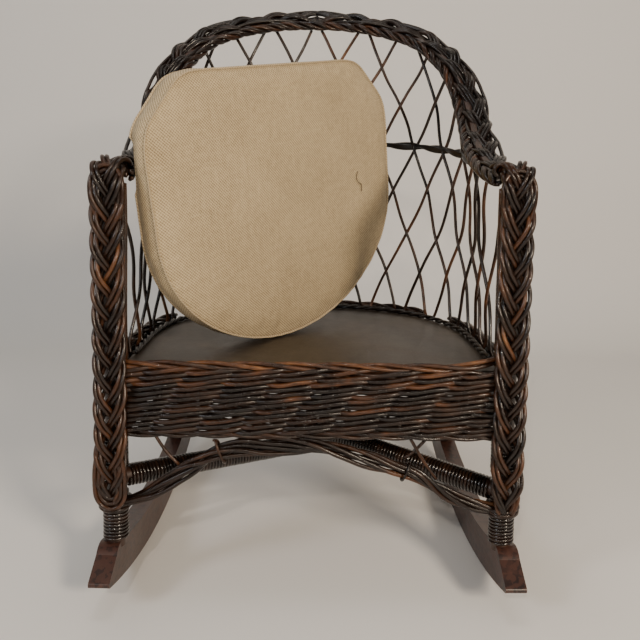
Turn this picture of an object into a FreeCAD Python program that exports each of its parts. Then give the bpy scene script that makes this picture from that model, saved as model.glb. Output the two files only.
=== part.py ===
import FreeCAD, Part
import os
import math

os.makedirs("parts", exist_ok=True)
V = FreeCAD.Vector

# ------------------------------------------------------------------ driving dimensions (mm)
# Working frame: X to the sitter's left hand seen from the front as right, Y towards the back,
# Z up, Y = 0 in the plane of the front legs, floor at Z = 0.  Everything is shifted at the end so
# that the origin is the middle of the footprint on the floor.
SEAT_TOP = 258.0            # top of the covered seat panel
RIM_HALF_W = 192.0          # half width of the seat edge at the sides
RIM_FLAT_Y = 95.0           # side edges are straight up to here
RIM_DEPTH = 197.0           # from there to the back edge
RIM_EXP = 2.35              # fullness of the rounded back edge
BOARD_T = 8.0
COVER_T = 2.0
RAIL_D = 16.0
RAIL_Z = 239.0

ROCKER_R = 704.0            # radius of the sole of the rockers
ROCKER_CY = 170.0           # where the sole touches the floor
ROCKER_H = 40.0
ROCKER_W = 22.0
ROCKER_X = 212.0            # centre line at the front legs
ROCKER_TOE = 0.0256         # toe-in, mm per mm
ROCKER_Y0 = -53.0
ROCKER_Y1 = 448.0

LEG_D = 20.0
LEG_X_LOW = 208.0           # front leg centre at the rocker
LEG_X_TOP = 194.0           # front leg centre under the arm
LEG_Z_LOW = 63.0
LEG_Z_TOP = 442.6
TENON_D = 12.0
TENON_L = 16.0
WRAP_T = 2.0                # reed wrapping laid round the legs and stretchers
WRAP_PITCH = 4.0
REAR_LOW = (204.0, 312.0)
REAR_TOP = (153.5, 218.0)

STRETCH_D = 17.0
STRETCH_A = (135.0, 96.0)   # front and rear heights of the bar from the left front leg
STRETCH_B = (123.0, 153.0)  # the same for the bar from the right front leg

STAKE_D = 4.0
STAKE_PITCH = 49.0          # pairs of stakes along the seat edge
STAKE_RISE = 110.0          # height in which a stake moves one pitch sideways
LAYER = 2.5                 # the two layers of stakes stand this far either side of the wall

CORE_D = 10.0               # bent rod inside the arm and back border
ROPE_D = 11.0               # rope hugging its inner side
ROPE_OFF = -14.6
CORE_OFF = -3.8

APRON_Z0 = 187.0
APRON_Z1 = 262.0
APRON_ROWS = 15
APRON_T = 6.0

BRAID_W = 37.0              # plait on the front of each leg
BRAID_T = 9.0
BRAID_Z0 = 105.0
BRAID_Z1 = 440.0

CUSH_W = 382.0
CUSH_H = 310.5
CUSH_T = 26.0
CUSH_RC = 90.0
CUSH_SIDE = 160.0
CUSH_EXP = 1.85
CUSH_YAW = 48.0
CUSH_LEAN = -0.2
CUSH_ROLL = 7.7
CUSH_X = -36.4
CUSH_Y = 140.6
CUSH_FLOOR = SEAT_TOP + 0.5
BAY_X = -170.4            # the edge is pressed in this far by the arm
SKIN = 1.2

# centre line of the arm and back border, right-hand half
BORDER = [(194.0, -1.8, 448.2), (189.0, 22.0, 452.0), (185.0, 50.0, 459.0), (185.0, 85.0, 468.0),
          (187.0, 140.0, 488.0), (190.0, 180.0, 509.0), (189.0, 215.0, 533.0), (184.0, 237.0, 555.0),
          (175.0, 260.0, 579.0), (163.0, 285.0, 597.0), (144.6, 305.0, 614.0), (120.0, 322.0, 626.5),
          (88.7, 335.0, 636.0), (48.5, 345.0, 643.0), (0.0, 350.0, 645.5)]

NODES = {}


def add(name, *shapes):
    NODES.setdefault(name, []).extend(shapes)


# ------------------------------------------------------------------ curve helpers
def lerp(a, b, t):
    return a + (b - a) * t


def catmull(P, n=8):
    out = []
    for i in range(len(P) - 1):
        p0 = P[max(i - 1, 0)]
        p1 = P[i]
        p2 = P[i + 1]
        p3 = P[min(i + 2, len(P) - 1)]
        for k in range(n):
            t = k / float(n)
            out.append(tuple(0.5 * ((2 * p1[j]) + (-p0[j] + p2[j]) * t + (2 * p0[j] - 5 * p1[j] + 4 * p2[j] - p3[j]) * t * t
                                    + (-p0[j] + 3 * p1[j] - 3 * p2[j] + p3[j]) * t ** 3) for j in range(3)))
    out.append(tuple(P[-1]))
    return out


def arc_param(pts):
    s = [0.0]
    for a, b in zip(pts[:-1], pts[1:]):
        s.append(s[-1] + math.dist(a, b))
    return s


class Curve:
    """A polyline read by arc length from -1 (left end) over 0 (middle) to +1 (right end)."""

    def __init__(self, right_half):
        # right_half runs from the front end to the middle of the back
        mid = list(right_half)
        left = [(-p[0], p[1], p[2]) for p in mid[::-1]][1:]
        self.p = (mid + left)[::-1]
        self.s = arc_param(self.p)
        self.L = self.s[-1] / 2.0

    def at(self, sig):
        x = (sig + 1.0) * self.L
        s = self.s
        x = min(max(x, 0.0), s[-1])
        lo, hi = 0, len(s) - 1
        while hi - lo > 1:
            m = (lo + hi) // 2
            if s[m] <= x:
                lo = m
            else:
                hi = m
        t = (x - s[lo]) / max(s[hi] - s[lo], 1e-9)
        return V(*[lerp(self.p[lo][j], self.p[hi][j], t) for j in range(3)])

    def tan(self, sig, e=0.012):
        a = self.at(max(sig - e, -1.0))
        b = self.at(min(sig + e, 1.0))
        d = b - a
        d.normalize()
        return d

    def out(self, sig):
        """Horizontal outward normal of the plan curve."""
        t = self.tan(sig)
        n = V(-t.y, t.x, 0)
        n.normalize()
        c = self.at(sig)
        if n.dot(V(c.x, c.y - 60.0, 0)) < 0:
            n = n * -1
        return n


def rim_half(n=40):
    pts = [(RIM_HALF_W + 1.5, 8.0, SEAT_TOP), (RIM_HALF_W + 0.6, 50.0, SEAT_TOP)]
    for i in range(n + 1):
        t = (math.pi / 2) * i / n
        c, s = math.cos(t), math.sin(t)
        pts.append((RIM_HALF_W * abs(c) ** (2 / RIM_EXP), RIM_FLAT_Y + RIM_DEPTH * abs(s) ** (2 / RIM_EXP), SEAT_TOP))
    pts[-1] = (0.0, RIM_FLAT_Y + RIM_DEPTH, SEAT_TOP)
    return pts


RIM = Curve(rim_half())
_b = BORDER + [(-BORDER[-2][0], BORDER[-2][1], BORDER[-2][2])]
EDGE = Curve(catmull(_b, 8)[:-8])


def edge_frame(sig):
    """Centre, outward and upward directions of the flat border at a place along it."""
    c = EDGE.at(sig)
    t = EDGE.tan(sig)
    o = EDGE.out(sig)
    w = max(0.0, 1.0 - abs(sig) / 0.62)
    tilt = math.radians(24.0) * min(1.0, w * 1.6)
    o = o * math.cos(tilt) + V(0, 0, 1) * math.sin(tilt)
    o = o - t * o.dot(t)
    o.normalize()
    u = t.cross(o)
    if u.z < 0:
        u = u * -1
    u.normalize()
    return c, o, u


def edge_point(sig, off, up=0.0):
    c, o, u = edge_frame(sig)
    return c + o * off + u * up


def spline(pts):
    c = Part.BSplineCurve()
    c.interpolate([V(*p) if isinstance(p, tuple) else p for p in pts])
    return c


def unit(v):
    v = V(v.x, v.y, v.z)
    v.normalize()
    return v


def tangents(pts):
    out = []
    for i in range(len(pts)):
        a = pts[max(i - 1, 0)]
        b = pts[min(i + 1, len(pts) - 1)]
        out.append(unit(b - a))
    return out


def ruled(sections):
    """Solid through equal polygons, one after another."""
    ws = [Part.makePolygon(list(q) + [q[0]]) for q in sections]
    s = Part.makeLoft(ws, True, True)
    if s.ShapeType != "Solid":
        s = s.Solids[0] if s.Solids else Part.Solid(s)
    if s.Volume < 0:
        s.reverse()
    return s


def tube(pts, r, n=8):
    """Round reed along a path, its section carried along without twist."""
    pts = [V(*p) if isinstance(p, tuple) else p for p in pts]
    tan = tangents(pts)
    ref = V(0, 0, 1) if abs(tan[0].z) < 0.8 else V(1, 0, 0)
    nrm = unit(ref - tan[0] * ref.dot(tan[0]))
    secs = []
    for p, t in zip(pts, tan):
        nrm = unit(nrm - t * nrm.dot(t))
        bi = t.cross(nrm)
        secs.append([p + nrm * (r * math.cos(2 * math.pi * k / n)) + bi * (r * math.sin(2 * math.pi * k / n)) for k in range(n)])
    return ruled(secs)


def rod(a, b, r):
    d = b - a
    return Part.makeCylinder(r, d.Length, a, d)


def frange(a, b, n):
    return [a + (b - a) * i / float(n) for i in range(n + 1)]


def ribbed_sleeve(a, b, ri, ro, pitch):
    """Close turns of round reed laid round a rod from a to b."""
    d = b - a
    L = d.Length
    n = max(2, int(round(L / pitch)))
    p = L / n
    root = ro - 0.30 * p
    pts = [V(ri, 0, 0), V(root, 0, 0)]
    edges = [Part.makeLine(V(ri, 0, 0), V(root, 0, 0))]
    for i in range(n):
        z0 = i * p
        edges.append(Part.Arc(V(root, 0, z0), V(ro, 0, z0 + p / 2), V(root, 0, z0 + p)).toShape())
    edges.append(Part.makeLine(V(root, 0, L), V(ri, 0, L)))
    edges.append(Part.makeLine(V(ri, 0, L), V(ri, 0, 0)))
    f = Part.Face(Part.Wire(edges))
    s = f.revolve(V(0, 0, 0), V(0, 0, 1), 360)
    m = FreeCAD.Placement(a, FreeCAD.Rotation(V(0, 0, 1), d))
    s.Placement = m
    return s


# ------------------------------------------------------------------ rockers
def rocker(side):
    cz = ROCKER_R

    def zb(y, r):
        return cz - math.sqrt(r * r - (y - ROCKER_CY) ** 2)

    rt = ROCKER_R - ROCKER_H
    y0, y1 = ROCKER_Y0, ROCKER_Y1
    A = V(0, y0 + 2.0, zb(y0 + 2.0, ROCKER_R))
    M = V(0, ROCKER_CY, 0)
    B = V(0, y1 - 2.0, zb(y1 - 2.0, ROCKER_R))
    e = [Part.Arc(A, M, B).toShape()]
    # rounded heel at the back
    C = V(0, y1 - 22.0, zb(y1 - 22.0, rt))
    e.append(Part.Arc(B, V(0, y1 + 0.0, B.z + 5.0), V(0, y1 - 4.0, B.z + 12.0)).toShape())
    e.append(Part.makeLine(V(0, y1 - 4.0, B.z + 12.0), V(0, y1 - 13.0, C.z - 3.0)))
    e.append(Part.Arc(V(0, y1 - 13.0, C.z - 3.0), V(0, y1 - 16.5, C.z - 0.2), C).toShape())
    D = V(0, -5.0, zb(-5.0, rt))
    e.append(Part.Arc(C, V(0, ROCKER_CY, ROCKER_H), D).toShape())
    # sloping nose with a rounded upper corner
    e.append(Part.Arc(D, V(0, -15.5, D.z - 1.4), V(0, -23.5, D.z - 7.0)).toShape())
    e.append(Part.makeLine(V(0, -23.5, D.z - 7.0), V(0, y0 + 1.0, A.z + 5.5)))
    e.append(Part.Arc(V(0, y0 + 1.0, A.z + 5.5), V(0, y0, A.z + 2.4), A).toShape())
    f = Part.Face(Part.Wire(e))
    s = f.extrude(V(ROCKER_W, 0, 0))
    s.translate(V(-ROCKER_W / 2, 0, 0))
    try:
        long_edges = [ed for ed in s.Edges if ed.Length > 60 and abs(ed.BoundBox.XMax - ed.BoundBox.XMin) < 0.01]
        s2 = s.makeFillet(2.2, long_edges)
        if s2.isValid() and len(s2.Solids) == 1:
            s = s2.Solids[0]
    except Exception:
        pass
    s.rotate(V(0, 0, 0), V(0, 0, 1), side * math.degrees(math.atan(ROCKER_TOE)))
    s.translate(V(side * ROCKER_X, 0, 0))
    return s


def rocker_x(y):
    return ROCKER_X - ROCKER_TOE * y


def rocker_top(y):
    r = ROCKER_R - ROCKER_H
    return ROCKER_R - math.sqrt(r * r - (y - ROCKER_CY) ** 2)


def leg_axis(side, z):
    t = (z - LEG_Z_LOW) / (LEG_Z_TOP - LEG_Z_LOW)
    return V(side * lerp(LEG_X_LOW, LEG_X_TOP, t), 0, z)


def rear_axis(side, t):
    zl = rocker_top(REAR_LOW[1]) - 2.0
    a = V(side * REAR_LOW[0], REAR_LOW[1], zl)
    b = V(side * REAR_TOP[0], REAR_TOP[1], RAIL_Z - RAIL_D / 2 - 0.4)
    return a + (b - a) * t


SIDES = ((1, "right"), (-1, "left"))
legs, rears, rockers = {}, {}, {}
for sd, nm in SIDES:
    a = leg_axis(sd, LEG_Z_LOW)
    b = leg_axis(sd, LEG_Z_TOP - 0.2)
    d = (b - a)
    d.normalize()
    leg = rod(a - d * 6, b, LEG_D / 2)
    tenon = rod(a - d * TENON_L, a, TENON_D / 2)
    rk = rocker(sd)
    leg = leg.cut(rk)
    leg = max(leg.Solids, key=lambda q: q.Volume)
    leg = leg.fuse(tenon).removeSplitter()
    leg = max(leg.Solids, key=lambda q: q.Volume)
    ra, rb = rear_axis(sd, 0.0), rear_axis(sd, 1.0)
    rd = rb - ra
    rd.normalize()
    rear = rod(ra - rd * 8, rb + rd * 8, LEG_D / 2)
    rear = rear.cut(Part.makeBox(120, 120, 60, V(rb.x - 60, rb.y - 60, rb.z)))
    rten = rod(ra - rd * 18, ra + rd * 4, TENON_D / 2)
    rear = rear.cut(rk)
    rear = max(rear.Solids, key=lambda q: q.Volume)
    rear = rear.fuse(rten).removeSplitter()
    rear = max(rear.Solids, key=lambda q: q.Volume)
    rk = rk.cut(leg.fuse(rear))
    rk = max(rk.Solids, key=lambda q: q.Volume)
    legs[sd], rears[sd], rockers[sd] = leg, rear, rk
    add("rocker_" + nm, rk)

# ------------------------------------------------------------------ stretchers, crossing under the seat
bars = {}
for key, sd, (z0, z1) in (("left_front", -1, STRETCH_A), ("right_front", 1, STRETCH_B)):
    p = leg_axis(sd, z0)
    tr = (z1 - 50.0) / (RAIL_Z - RAIL_D / 2 - 50.0)
    q = rear_axis(-sd, tr)
    q = V(q.x, q.y, z1)
    bar = rod(p, q, STRETCH_D / 2)
    bar = bar.cut(legs[sd]).cut(rears[-sd])
    bar = max(bar.Solids, key=lambda s: s.Volume)
    d = q - p
    d.normalize()
    bars[key] = bar
    add("stretcher_" + key, bar)
    w = ribbed_sleeve(p + d * 17.0, q - d * 17.0, STRETCH_D / 2, STRETCH_D / 2 + WRAP_T, WRAP_PITCH)
    add("stretcher_wrap_" + key, w)

# ------------------------------------------------------------------ seat frame
hoop_pts = []
for sg in frange(-1.0, 1.0, 36):
    c = RIM.at(sg)
    o = RIM.out(sg)
    hoop_pts.append(V(c.x, c.y, RAIL_Z) - o * (1.0 + RAIL_D / 2))
hoop_pts[0] = V(hoop_pts[0].x, 13.0, RAIL_Z)
hoop_pts[-1] = V(hoop_pts[-1].x, 13.0, RAIL_Z)
seat_hoop = tube(hoop_pts, RAIL_D / 2, 10)
rail = rod(V(-199, 4, RAIL_Z), V(199, 4, RAIL_Z), RAIL_D / 2).cut(legs[1]).cut(legs[-1])
rail = max(rail.Solids, key=lambda s: s.Volume)
add("seat_hoop", seat_hoop)
add("front_rail", rail)


def seat_face(off, z):
    pts = []
    for sg in frange(-1.0, 1.0, 60):
        c = RIM.at(sg)
        o = RIM.out(sg)
        pts.append(V(c.x, c.y, z) + o * off)
    pts[0] = V(pts[0].x, 12.5, z)
    pts[-1] = V(pts[-1].x, 12.5, z)
    c = spline(pts)
    a, b = pts[0], pts[-1]
    f0, f1 = V(a.x + 6.0, -1.0, z), V(b.x - 6.0, -1.0, z)
    e = [c.toShape(), Part.makeLine(b, f1), Part.makeLine(f1, f0), Part.makeLine(f0, a)]
    return Part.Face(Part.Wire(e))


board = seat_face(-1.0, SEAT_TOP - COVER_T - BOARD_T).extrude(V(0, 0, BOARD_T))
cover = seat_face(-1.0, SEAT_TOP - COVER_T).extrude(V(0, 0, COVER_T))
for sd in (1, -1):
    keep = rod(leg_axis(sd, 240), leg_axis(sd, 275), LEG_D / 2 + WRAP_T + 0.3)
    board = board.cut(keep)
    cover = cover.cut(keep)
add("seat_board", max(board.Solids, key=lambda s: s.Volume))
add("seat_cover", max(cover.Solids, key=lambda s: s.Volume))

# twisted strand laid on the back edge of the seat
trim = []
for sg in frange(-0.93, 0.93, 36):
    c = RIM.at(sg)
    o = RIM.out(sg)
    trim.append(V(c.x, c.y, SEAT_TOP + 3.2) - o * 4.6)
add("seat_edge_twist", tube(trim, 3.0, 6))

# ------------------------------------------------------------------ arm and back border
core_pts = [edge_point(s, CORE_OFF) for s in frange(-1.0, 1.0, 40)]
core = tube(core_pts, CORE_D / 2)
for sd, nm in SIDES:
    add("front_leg_" + nm, legs[sd])
    add("rear_leg_" + nm, rears[sd])
add("border_core", core)
cut = 0.975
add("border_rope", tube([edge_point(s, ROPE_OFF, -0.5) for s in frange(-cut, cut, 40)], ROPE_D / 2))
secs = []
for sg in frange(-cut, cut, 40):
    q = []
    for o_, u_ in ((1.8, -2.0), (4.5, -4.6), (16.0, -4.6), (20.0, -1.5), (20.0, 1.5), (16.0, 5.6), (4.5, 5.6), (1.8, 3.0)):
        q.append(edge_point(sg, o_, u_))
    secs.append(q)
add("border_plait", ruled(secs))

# ------------------------------------------------------------------ stakes of the open wall


def arc_of(xy):
    """Distance along the seat edge, from the middle of the back, nearest to a plan point."""
    best = min(frange(0.0, 1.0, 800), key=lambda q: math.hypot(RIM.at(q).x - xy[0], RIM.at(q).y - xy[1]))
    return best * RIM.L


def wall_rim(sig):
    c = RIM.at(sig)
    return V(c.x, c.y, SEAT_TOP) + RIM.out(sig) * 4.5


def wall_point(arc, h, off):
    sig = arc / RIM.L
    a = wall_rim(sig)
    b = edge_point(sig, CORE_OFF)
    H = b.z - SEAT_TOP
    f = h / H
    o = RIM.out(sig) * (1 - max(0.0, min(1.0, f))) + EDGE.out(sig) * max(0.0, min(1.0, f))
    o.normalize()
    p = a + (b - a) * f if h > 0 else V(a.x, a.y, SEAT_TOP + h)
    return p + o * off, H


def drift(h):
    """Sideways travel of a stake: upright below the seat edge, then steadily leaning."""
    q = h - 6.0
    return STAKE_PITCH * 0.5 * (q + math.sqrt(q * q + 400.0)) / STAKE_RISE


LEG_ARC = arc_of(REAR_TOP)


def stake(arc0, lean, off):
    pts = []
    low = (-9.0, -4.0) if abs(abs(arc0) - LEG_ARC) < 17.0 else (APRON_Z0 + 4.0 - SEAT_TOP, -18.0, -4.0)
    for h in low:
        pts.append(wall_point(arc0 + lean * drift(h), h, off)[0])
    h = 8.0
    lim = 0.955 * RIM.L
    while True:
        arc = arc0 + lean * drift(h)
        if abs(arc) > lim:
            lo, hi = h - 28.0, h
            for _ in range(20):
                m = (lo + hi) / 2
                if abs(arc0 + lean * drift(m)) > lim:
                    hi = m
                else:
                    lo = m
            if lo - (h - 28.0) > 4.0 and lo > 8.0:
                pts.append(wall_point(arc0 + lean * drift(lo), lo, off)[0])
            break
        p, H = wall_point(arc, h, off)
        if h > H - 9.4:
            break
        pts.append(p)
        nh = h + 28.0
        pH = wall_point(arc0 + lean * drift(nh), nh, off)[1] if abs(arc0 + lean * drift(nh)) < lim else H
        if nh > pH - 9.4:
            # last point just under the border
            lo, hi = h, nh
            for _ in range(20):
                m = (lo + hi) / 2
                am = arc0 + lean * drift(m)
                if m > wall_point(am, m, off)[1] - 9.4:
                    hi = m
                else:
                    lo = m
            if lo - h > 4.0:
                pts.append(wall_point(arc0 + lean * drift(lo), lo, off)[0])
            break
        h = nh
    return pts


n_pair = int((0.955 * RIM.L - STAKE_PITCH / 2) / STAKE_PITCH) + 1
arcs = []
for k in range(n_pair):
    a = STAKE_PITCH / 2 + STAKE_PITCH * k
    if a < 0.955 * RIM.L:
        arcs += [a, -a]
for a in sorted(arcs):
    # the stakes that lean to the right lie on the inside, the others outside
    for lean, off, node in ((1, -LAYER, "stakes_leaning_right"), (-1, LAYER, "stakes_leaning_left")):
        pts = stake(a + lean * 2.6, lean, off)
        add(node, tube(pts, STAKE_D / 2, 6))

# dark band twined round the back at arm height
for dz in (-2.3, 2.3):
    pts = []
    for arc in frange(-1, 1, 30):
        A = arc * 0.655 * RIM.L
        pts.append(wall_point(A, 217.0 + dz, -LAYER - 5.0)[0])
    add("mid_band", tube(pts, 2.0, 6))

# ------------------------------------------------------------------ apron weaving below the seat


def scallop(origin, o, rows, t, depth):
    """Section of the weaving: flat inside, one bulge per row outside."""
    p = (APRON_Z1 - APRON_Z0) / rows
    q = [(0.0, APRON_Z0), (t - depth, APRON_Z0)]
    for i in range(rows):
        z = APRON_Z0 + i * p
        q += [(t, z + p * 0.28), (t, z + p * 0.72), (t - depth, z + p)]
    q.append((0.0, APRON_Z1))
    return [V(origin.x, origin.y, 0) + o * x + V(0, 0, z) for x, z in q]


front_w = 186.0
fa = ruled([scallop(V(x, -4.6, 0), V(0, -1, 0), APRON_ROWS, APRON_T, 1.2) for x in (-front_w, front_w)])
add("apron_front", fa)
sg_a = 0.965


def apron_run(a, b, n):
    return ruled([scallop(RIM.at(sg) + RIM.out(sg) * 10.4, RIM.out(sg), APRON_ROWS, APRON_T, 1.2) for sg in frange(a, b, n)])


# the weaving is broken where a rear leg passes through it
gap = 16.5 / RIM.L
leg_sig = arc_of(REAR_TOP) / RIM.L
add("apron_side_right", apron_run(leg_sig + gap, sg_a, 8))
add("apron_side_left", apron_run(-sg_a, -leg_sig - gap, 8))
add("apron_rear", apron_run(-leg_sig + 1.75 * gap, leg_sig - 1.75 * gap, 22))

# upright stakes behind the front apron
for i in range(9):
    x = -160.0 + 40.0 * i
    add("apron_front_stakes", rod(V(x, -6.6 + 4.2 + 0.2, APRON_Z0 + 3), V(x, -6.6 + 4.2 + 0.2, RAIL_Z - 11.5), 1.9))

# ------------------------------------------------------------------ wrapping on the legs
for sd, nm in SIDES:
    d = leg_axis(sd, 300) - leg_axis(sd, 200)
    d.normalize()
    lo = leg_axis(sd, rocker_top(0) + 3.2)
    for z0, z1 in ((None, 113.0), (151.0, 183.0), (268.0, 438.0)):
        a = lo if z0 is None else leg_axis(sd, z0)
        add("front_leg_wrap_" + nm, ribbed_sleeve(a, leg_axis(sd, z1), LEG_D / 2, LEG_D / 2 + WRAP_T, WRAP_PITCH))
    stz = (STRETCH_B[1] if sd == -1 else STRETCH_A[1])
    L = (rear_axis(sd, 1.0) - rear_axis(sd, 0.0)).Length
    zl = rear_axis(sd, 0.0).z
    zt = rear_axis(sd, 1.0).z

    def tz(z):
        return (z - zl) / (zt - zl)

    for za, zb_ in ((zl + 9.0, stz - 17.0), (stz + 17.0, 222.0)):
        if zb_ - za > 12:
            add("rear_leg_wrap_" + nm, ribbed_sleeve(rear_axis(sd, tz(za)), rear_axis(sd, tz(zb_)), LEG_D / 2, LEG_D / 2 + WRAP_T, WRAP_PITCH))

# ------------------------------------------------------------------ plaits on the front of the legs and scrolled arm ends
for sd, nm in SIDES:
    y1 = -(LEG_D / 2 + WRAP_T + 0.3)
    # flat plait with a rounded front
    p0 = leg_axis(sd, BRAID_Z0 + 16)
    p1 = leg_axis(sd, BRAID_Z1)

    def plait_wire(p, w_, t_):
        a = V(p.x - w_ / 2, y1, p.z)
        b = V(p.x + w_ / 2, y1, p.z)
        a2 = V(p.x - w_ / 2, y1 - 3.0, p.z)
        b2 = V(p.x + w_ / 2, y1 - 3.0, p.z)
        m = V(p.x, y1 - t_, p.z)
        return Part.Wire([Part.makeLine(a, b), Part.makeLine(b, b2), Part.Arc(b2, m, a2).toShape(), Part.makeLine(a2, a)])

    ws = [plait_wire(leg_axis(sd, BRAID_Z0), 22.0, BRAID_T - 1.0), plait_wire(leg_axis(sd, BRAID_Z0 + 14), 32.0, BRAID_T),
          plait_wire(leg_axis(sd, BRAID_Z0 + 40), BRAID_W - 2.0, BRAID_T), plait_wire(leg_axis(sd, BRAID_Z1), BRAID_W, BRAID_T)]
    add("post_plait_" + nm, Part.makeLoft(ws, True, True))
    # scroll where the border turns down on to the leg
    c = leg_axis(sd, 452)
    roll = Part.makeCylinder(9.0, BRAID_W, V(c.x - BRAID_W / 2, -12.8, 452.0), V(1, 0, 0))
    add("arm_scroll_" + nm, roll)

# ------------------------------------------------------------------ arched skirt under the front apron
ARCH = [(-188.0, 111.0), (-166.0, 118.0), (-146.0, 127.0), (-128.0, 138.0), (-104.0, 152.0), (-78.0, 165.0),
        (-46.0, 173.5), (0.0, 176.0), (46.0, 173.5), (78.0, 165.0), (104.0, 152.0), (128.0, 138.0), (146.0, 127.0),
        (166.0, 118.0), (188.0, 111.0)]
secs = []
for (x, z) in ARCH:
    secs.append([V(x, -9.6, z), V(x, -10.6, z + 3.0), V(x, -10.6, z + 7.0), V(x, -9.6, z + 10.0), V(x, -3.0, z + 10.0), V(x, -1.6, z + 7.0), V(x, -1.6, z + 3.0), V(x, -3.0, z)])
add("skirt_arch", ruled(secs))
# stays between the apron and the arch
stay_r = 1.9
for (xa, za), (xb, zb_) in (((-156.0, 184.5), (-134.0, 151.5)), ((98.0, 184.5), (127.0, 155.5)),
                            ((-62.0, 184.6), (-50.0, 184.0 + 1.0)),):
    if math.hypot(xa - xb, za - zb_) > 20:
        add("skirt_stays", rod(V(xa, -1.6 - 4.0 + 0.0, za), V(xb, -5.6, zb_), stay_r))
add("skirt_stays", rod(V(124.0, 0.8, 184.5), V(99.0, 0.8, 166.0), stay_r))

# ------------------------------------------------------------------ loose box cushion standing on its rounded edge


def cushion_outline(W, H, rc, s0, e, n=36):
    a, top, b = W / 2, H / 2, H - s0
    pts = []
    for i in range(9):
        t = (math.pi / 2) * i / 8
        pts.append((a - rc + rc * math.sin(t), top - rc + rc * math.cos(t)))
    for i in range(n + 1):
        t = math.pi * i / n
        c, s = math.cos(t), math.sin(t)
        sx = (1 if c >= 0 else -1) * abs(c) ** (2 / e)
        pts.append((a * sx, top - s0 - b * abs(s) ** (2 / e)))
    for i in range(8, -1, -1):
        t = (math.pi / 2) * i / 8
        pts.append((-(a - rc + rc * math.sin(t)), top - rc + rc * math.cos(t)))
    out = []
    for p in pts:
        if not out or math.dist(p, out[-1]) > 0.8:
            out.append(p)
    return out


yaw, lean, roll_a = (math.radians(q) for q in (CUSH_YAW, CUSH_LEAN, CUSH_ROLL))
U0 = V(math.cos(yaw), math.sin(yaw), 0)
N0 = V(math.sin(yaw), -math.cos(yaw), 0)
W0 = V(0, 0, 1)
W1 = W0 * math.cos(lean) - N0 * math.sin(lean)
N1 = N0 * math.cos(lean) + W0 * math.sin(lean)
CU = U0 * math.cos(roll_a) + W1 * math.sin(roll_a)
CW = U0 * -math.sin(roll_a) + W1 * math.cos(roll_a)
CN = N1
zmin = min((CU * x + CW * y + CN * s).z for x, y in cushion_outline(CUSH_W, CUSH_H, CUSH_RC, CUSH_SIDE, CUSH_EXP) for s in (-CUSH_T / 2, CUSH_T / 2))
CC = V(CUSH_X, CUSH_Y, CUSH_FLOOR - zmin)


def cushion_prism(inset, n0, n1):
    o = cushion_outline(CUSH_W - 2 * inset, CUSH_H - 2 * inset, CUSH_RC - inset, CUSH_SIDE - inset, CUSH_EXP)
    pts = [CC + CU * x + CW * y + CN * n0 for x, y in o]
    top = Part.makeLine(pts[-1], pts[0])
    c = spline(pts)
    f = Part.Face(Part.Wire([c.toShape(), top]))
    return f.extrude(CN * (n1 - n0))


hT = CUSH_T / 2
outer = cushion_prism(0.0, -hT + SKIN, hT - SKIN)
foam = cushion_prism(SKIN, -hT + SKIN, hT - SKIN)
boxing = outer.cut(foam)
front_panel = cushion_prism(0.0, hT - SKIN, hT)
back_panel = cushion_prism(0.0, -hT, -hT + SKIN)
# the left arm presses lightly into the cushion's edge: a shallow bay is left for it
bay = Part.makeBox(80.0, 60.0, 60.0, V(BAY_X - 80.0, -13.0, 428.0))
for nm_, s in (("cushion_foam", foam), ("cushion_boxing", boxing), ("cushion_front_panel", front_panel), ("cushion_back_panel", back_panel)):
    s = s.cut(bay)
    add(nm_, *[q for q in s.Solids if q.Volume > 50])

# ------------------------------------------------------------------ origin in the middle of the footprint, export
b = rockers[1].optimalBoundingBox(False, False)
shift = V(0, -(b.YMin + b.YMax) / 2, -b.ZMin)
for name, shapes in NODES.items():
    out = []
    for s in shapes:
        q = s.copy()
        q.translate(shift)
        out.append(q)
    shape = out[0] if len(out) == 1 else Part.makeCompound(out)
    shape.exportStep("parts/%s.step" % name)
print("nodes", len(NODES), "shift", shift)
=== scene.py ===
import bpy, math
import numpy as np
from mathutils import Matrix, Vector, Euler

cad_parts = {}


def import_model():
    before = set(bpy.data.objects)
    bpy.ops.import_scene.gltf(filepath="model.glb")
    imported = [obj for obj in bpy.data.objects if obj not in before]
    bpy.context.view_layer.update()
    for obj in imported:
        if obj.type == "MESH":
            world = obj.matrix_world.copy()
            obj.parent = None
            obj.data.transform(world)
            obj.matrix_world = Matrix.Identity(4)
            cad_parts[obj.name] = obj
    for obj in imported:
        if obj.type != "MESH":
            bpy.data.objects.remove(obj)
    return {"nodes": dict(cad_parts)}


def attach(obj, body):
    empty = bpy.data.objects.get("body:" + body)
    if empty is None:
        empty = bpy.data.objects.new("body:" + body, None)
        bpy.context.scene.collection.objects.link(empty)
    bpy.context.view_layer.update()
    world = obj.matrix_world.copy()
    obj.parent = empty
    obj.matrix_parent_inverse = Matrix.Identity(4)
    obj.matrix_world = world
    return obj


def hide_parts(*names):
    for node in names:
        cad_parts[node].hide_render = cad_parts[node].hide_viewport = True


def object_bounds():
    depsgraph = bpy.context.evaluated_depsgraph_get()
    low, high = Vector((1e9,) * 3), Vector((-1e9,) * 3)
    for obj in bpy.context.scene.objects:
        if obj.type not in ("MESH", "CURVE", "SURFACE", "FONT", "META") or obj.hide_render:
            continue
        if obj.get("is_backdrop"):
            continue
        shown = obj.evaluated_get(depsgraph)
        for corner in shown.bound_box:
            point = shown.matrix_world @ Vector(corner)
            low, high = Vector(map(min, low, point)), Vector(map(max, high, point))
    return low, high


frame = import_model()
CAD_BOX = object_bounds()

# ------------------------------------------------------------------ dimensions (mm, front legs at Y = 0)
SY = -197.403
SEAT = 258.0
RNG = np.random.default_rng(7)


def world(P):
    P = np.asarray(P, float)
    return np.stack([P[..., 0], P[..., 1] + SY, P[..., 2]], -1) / 1000.0


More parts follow.
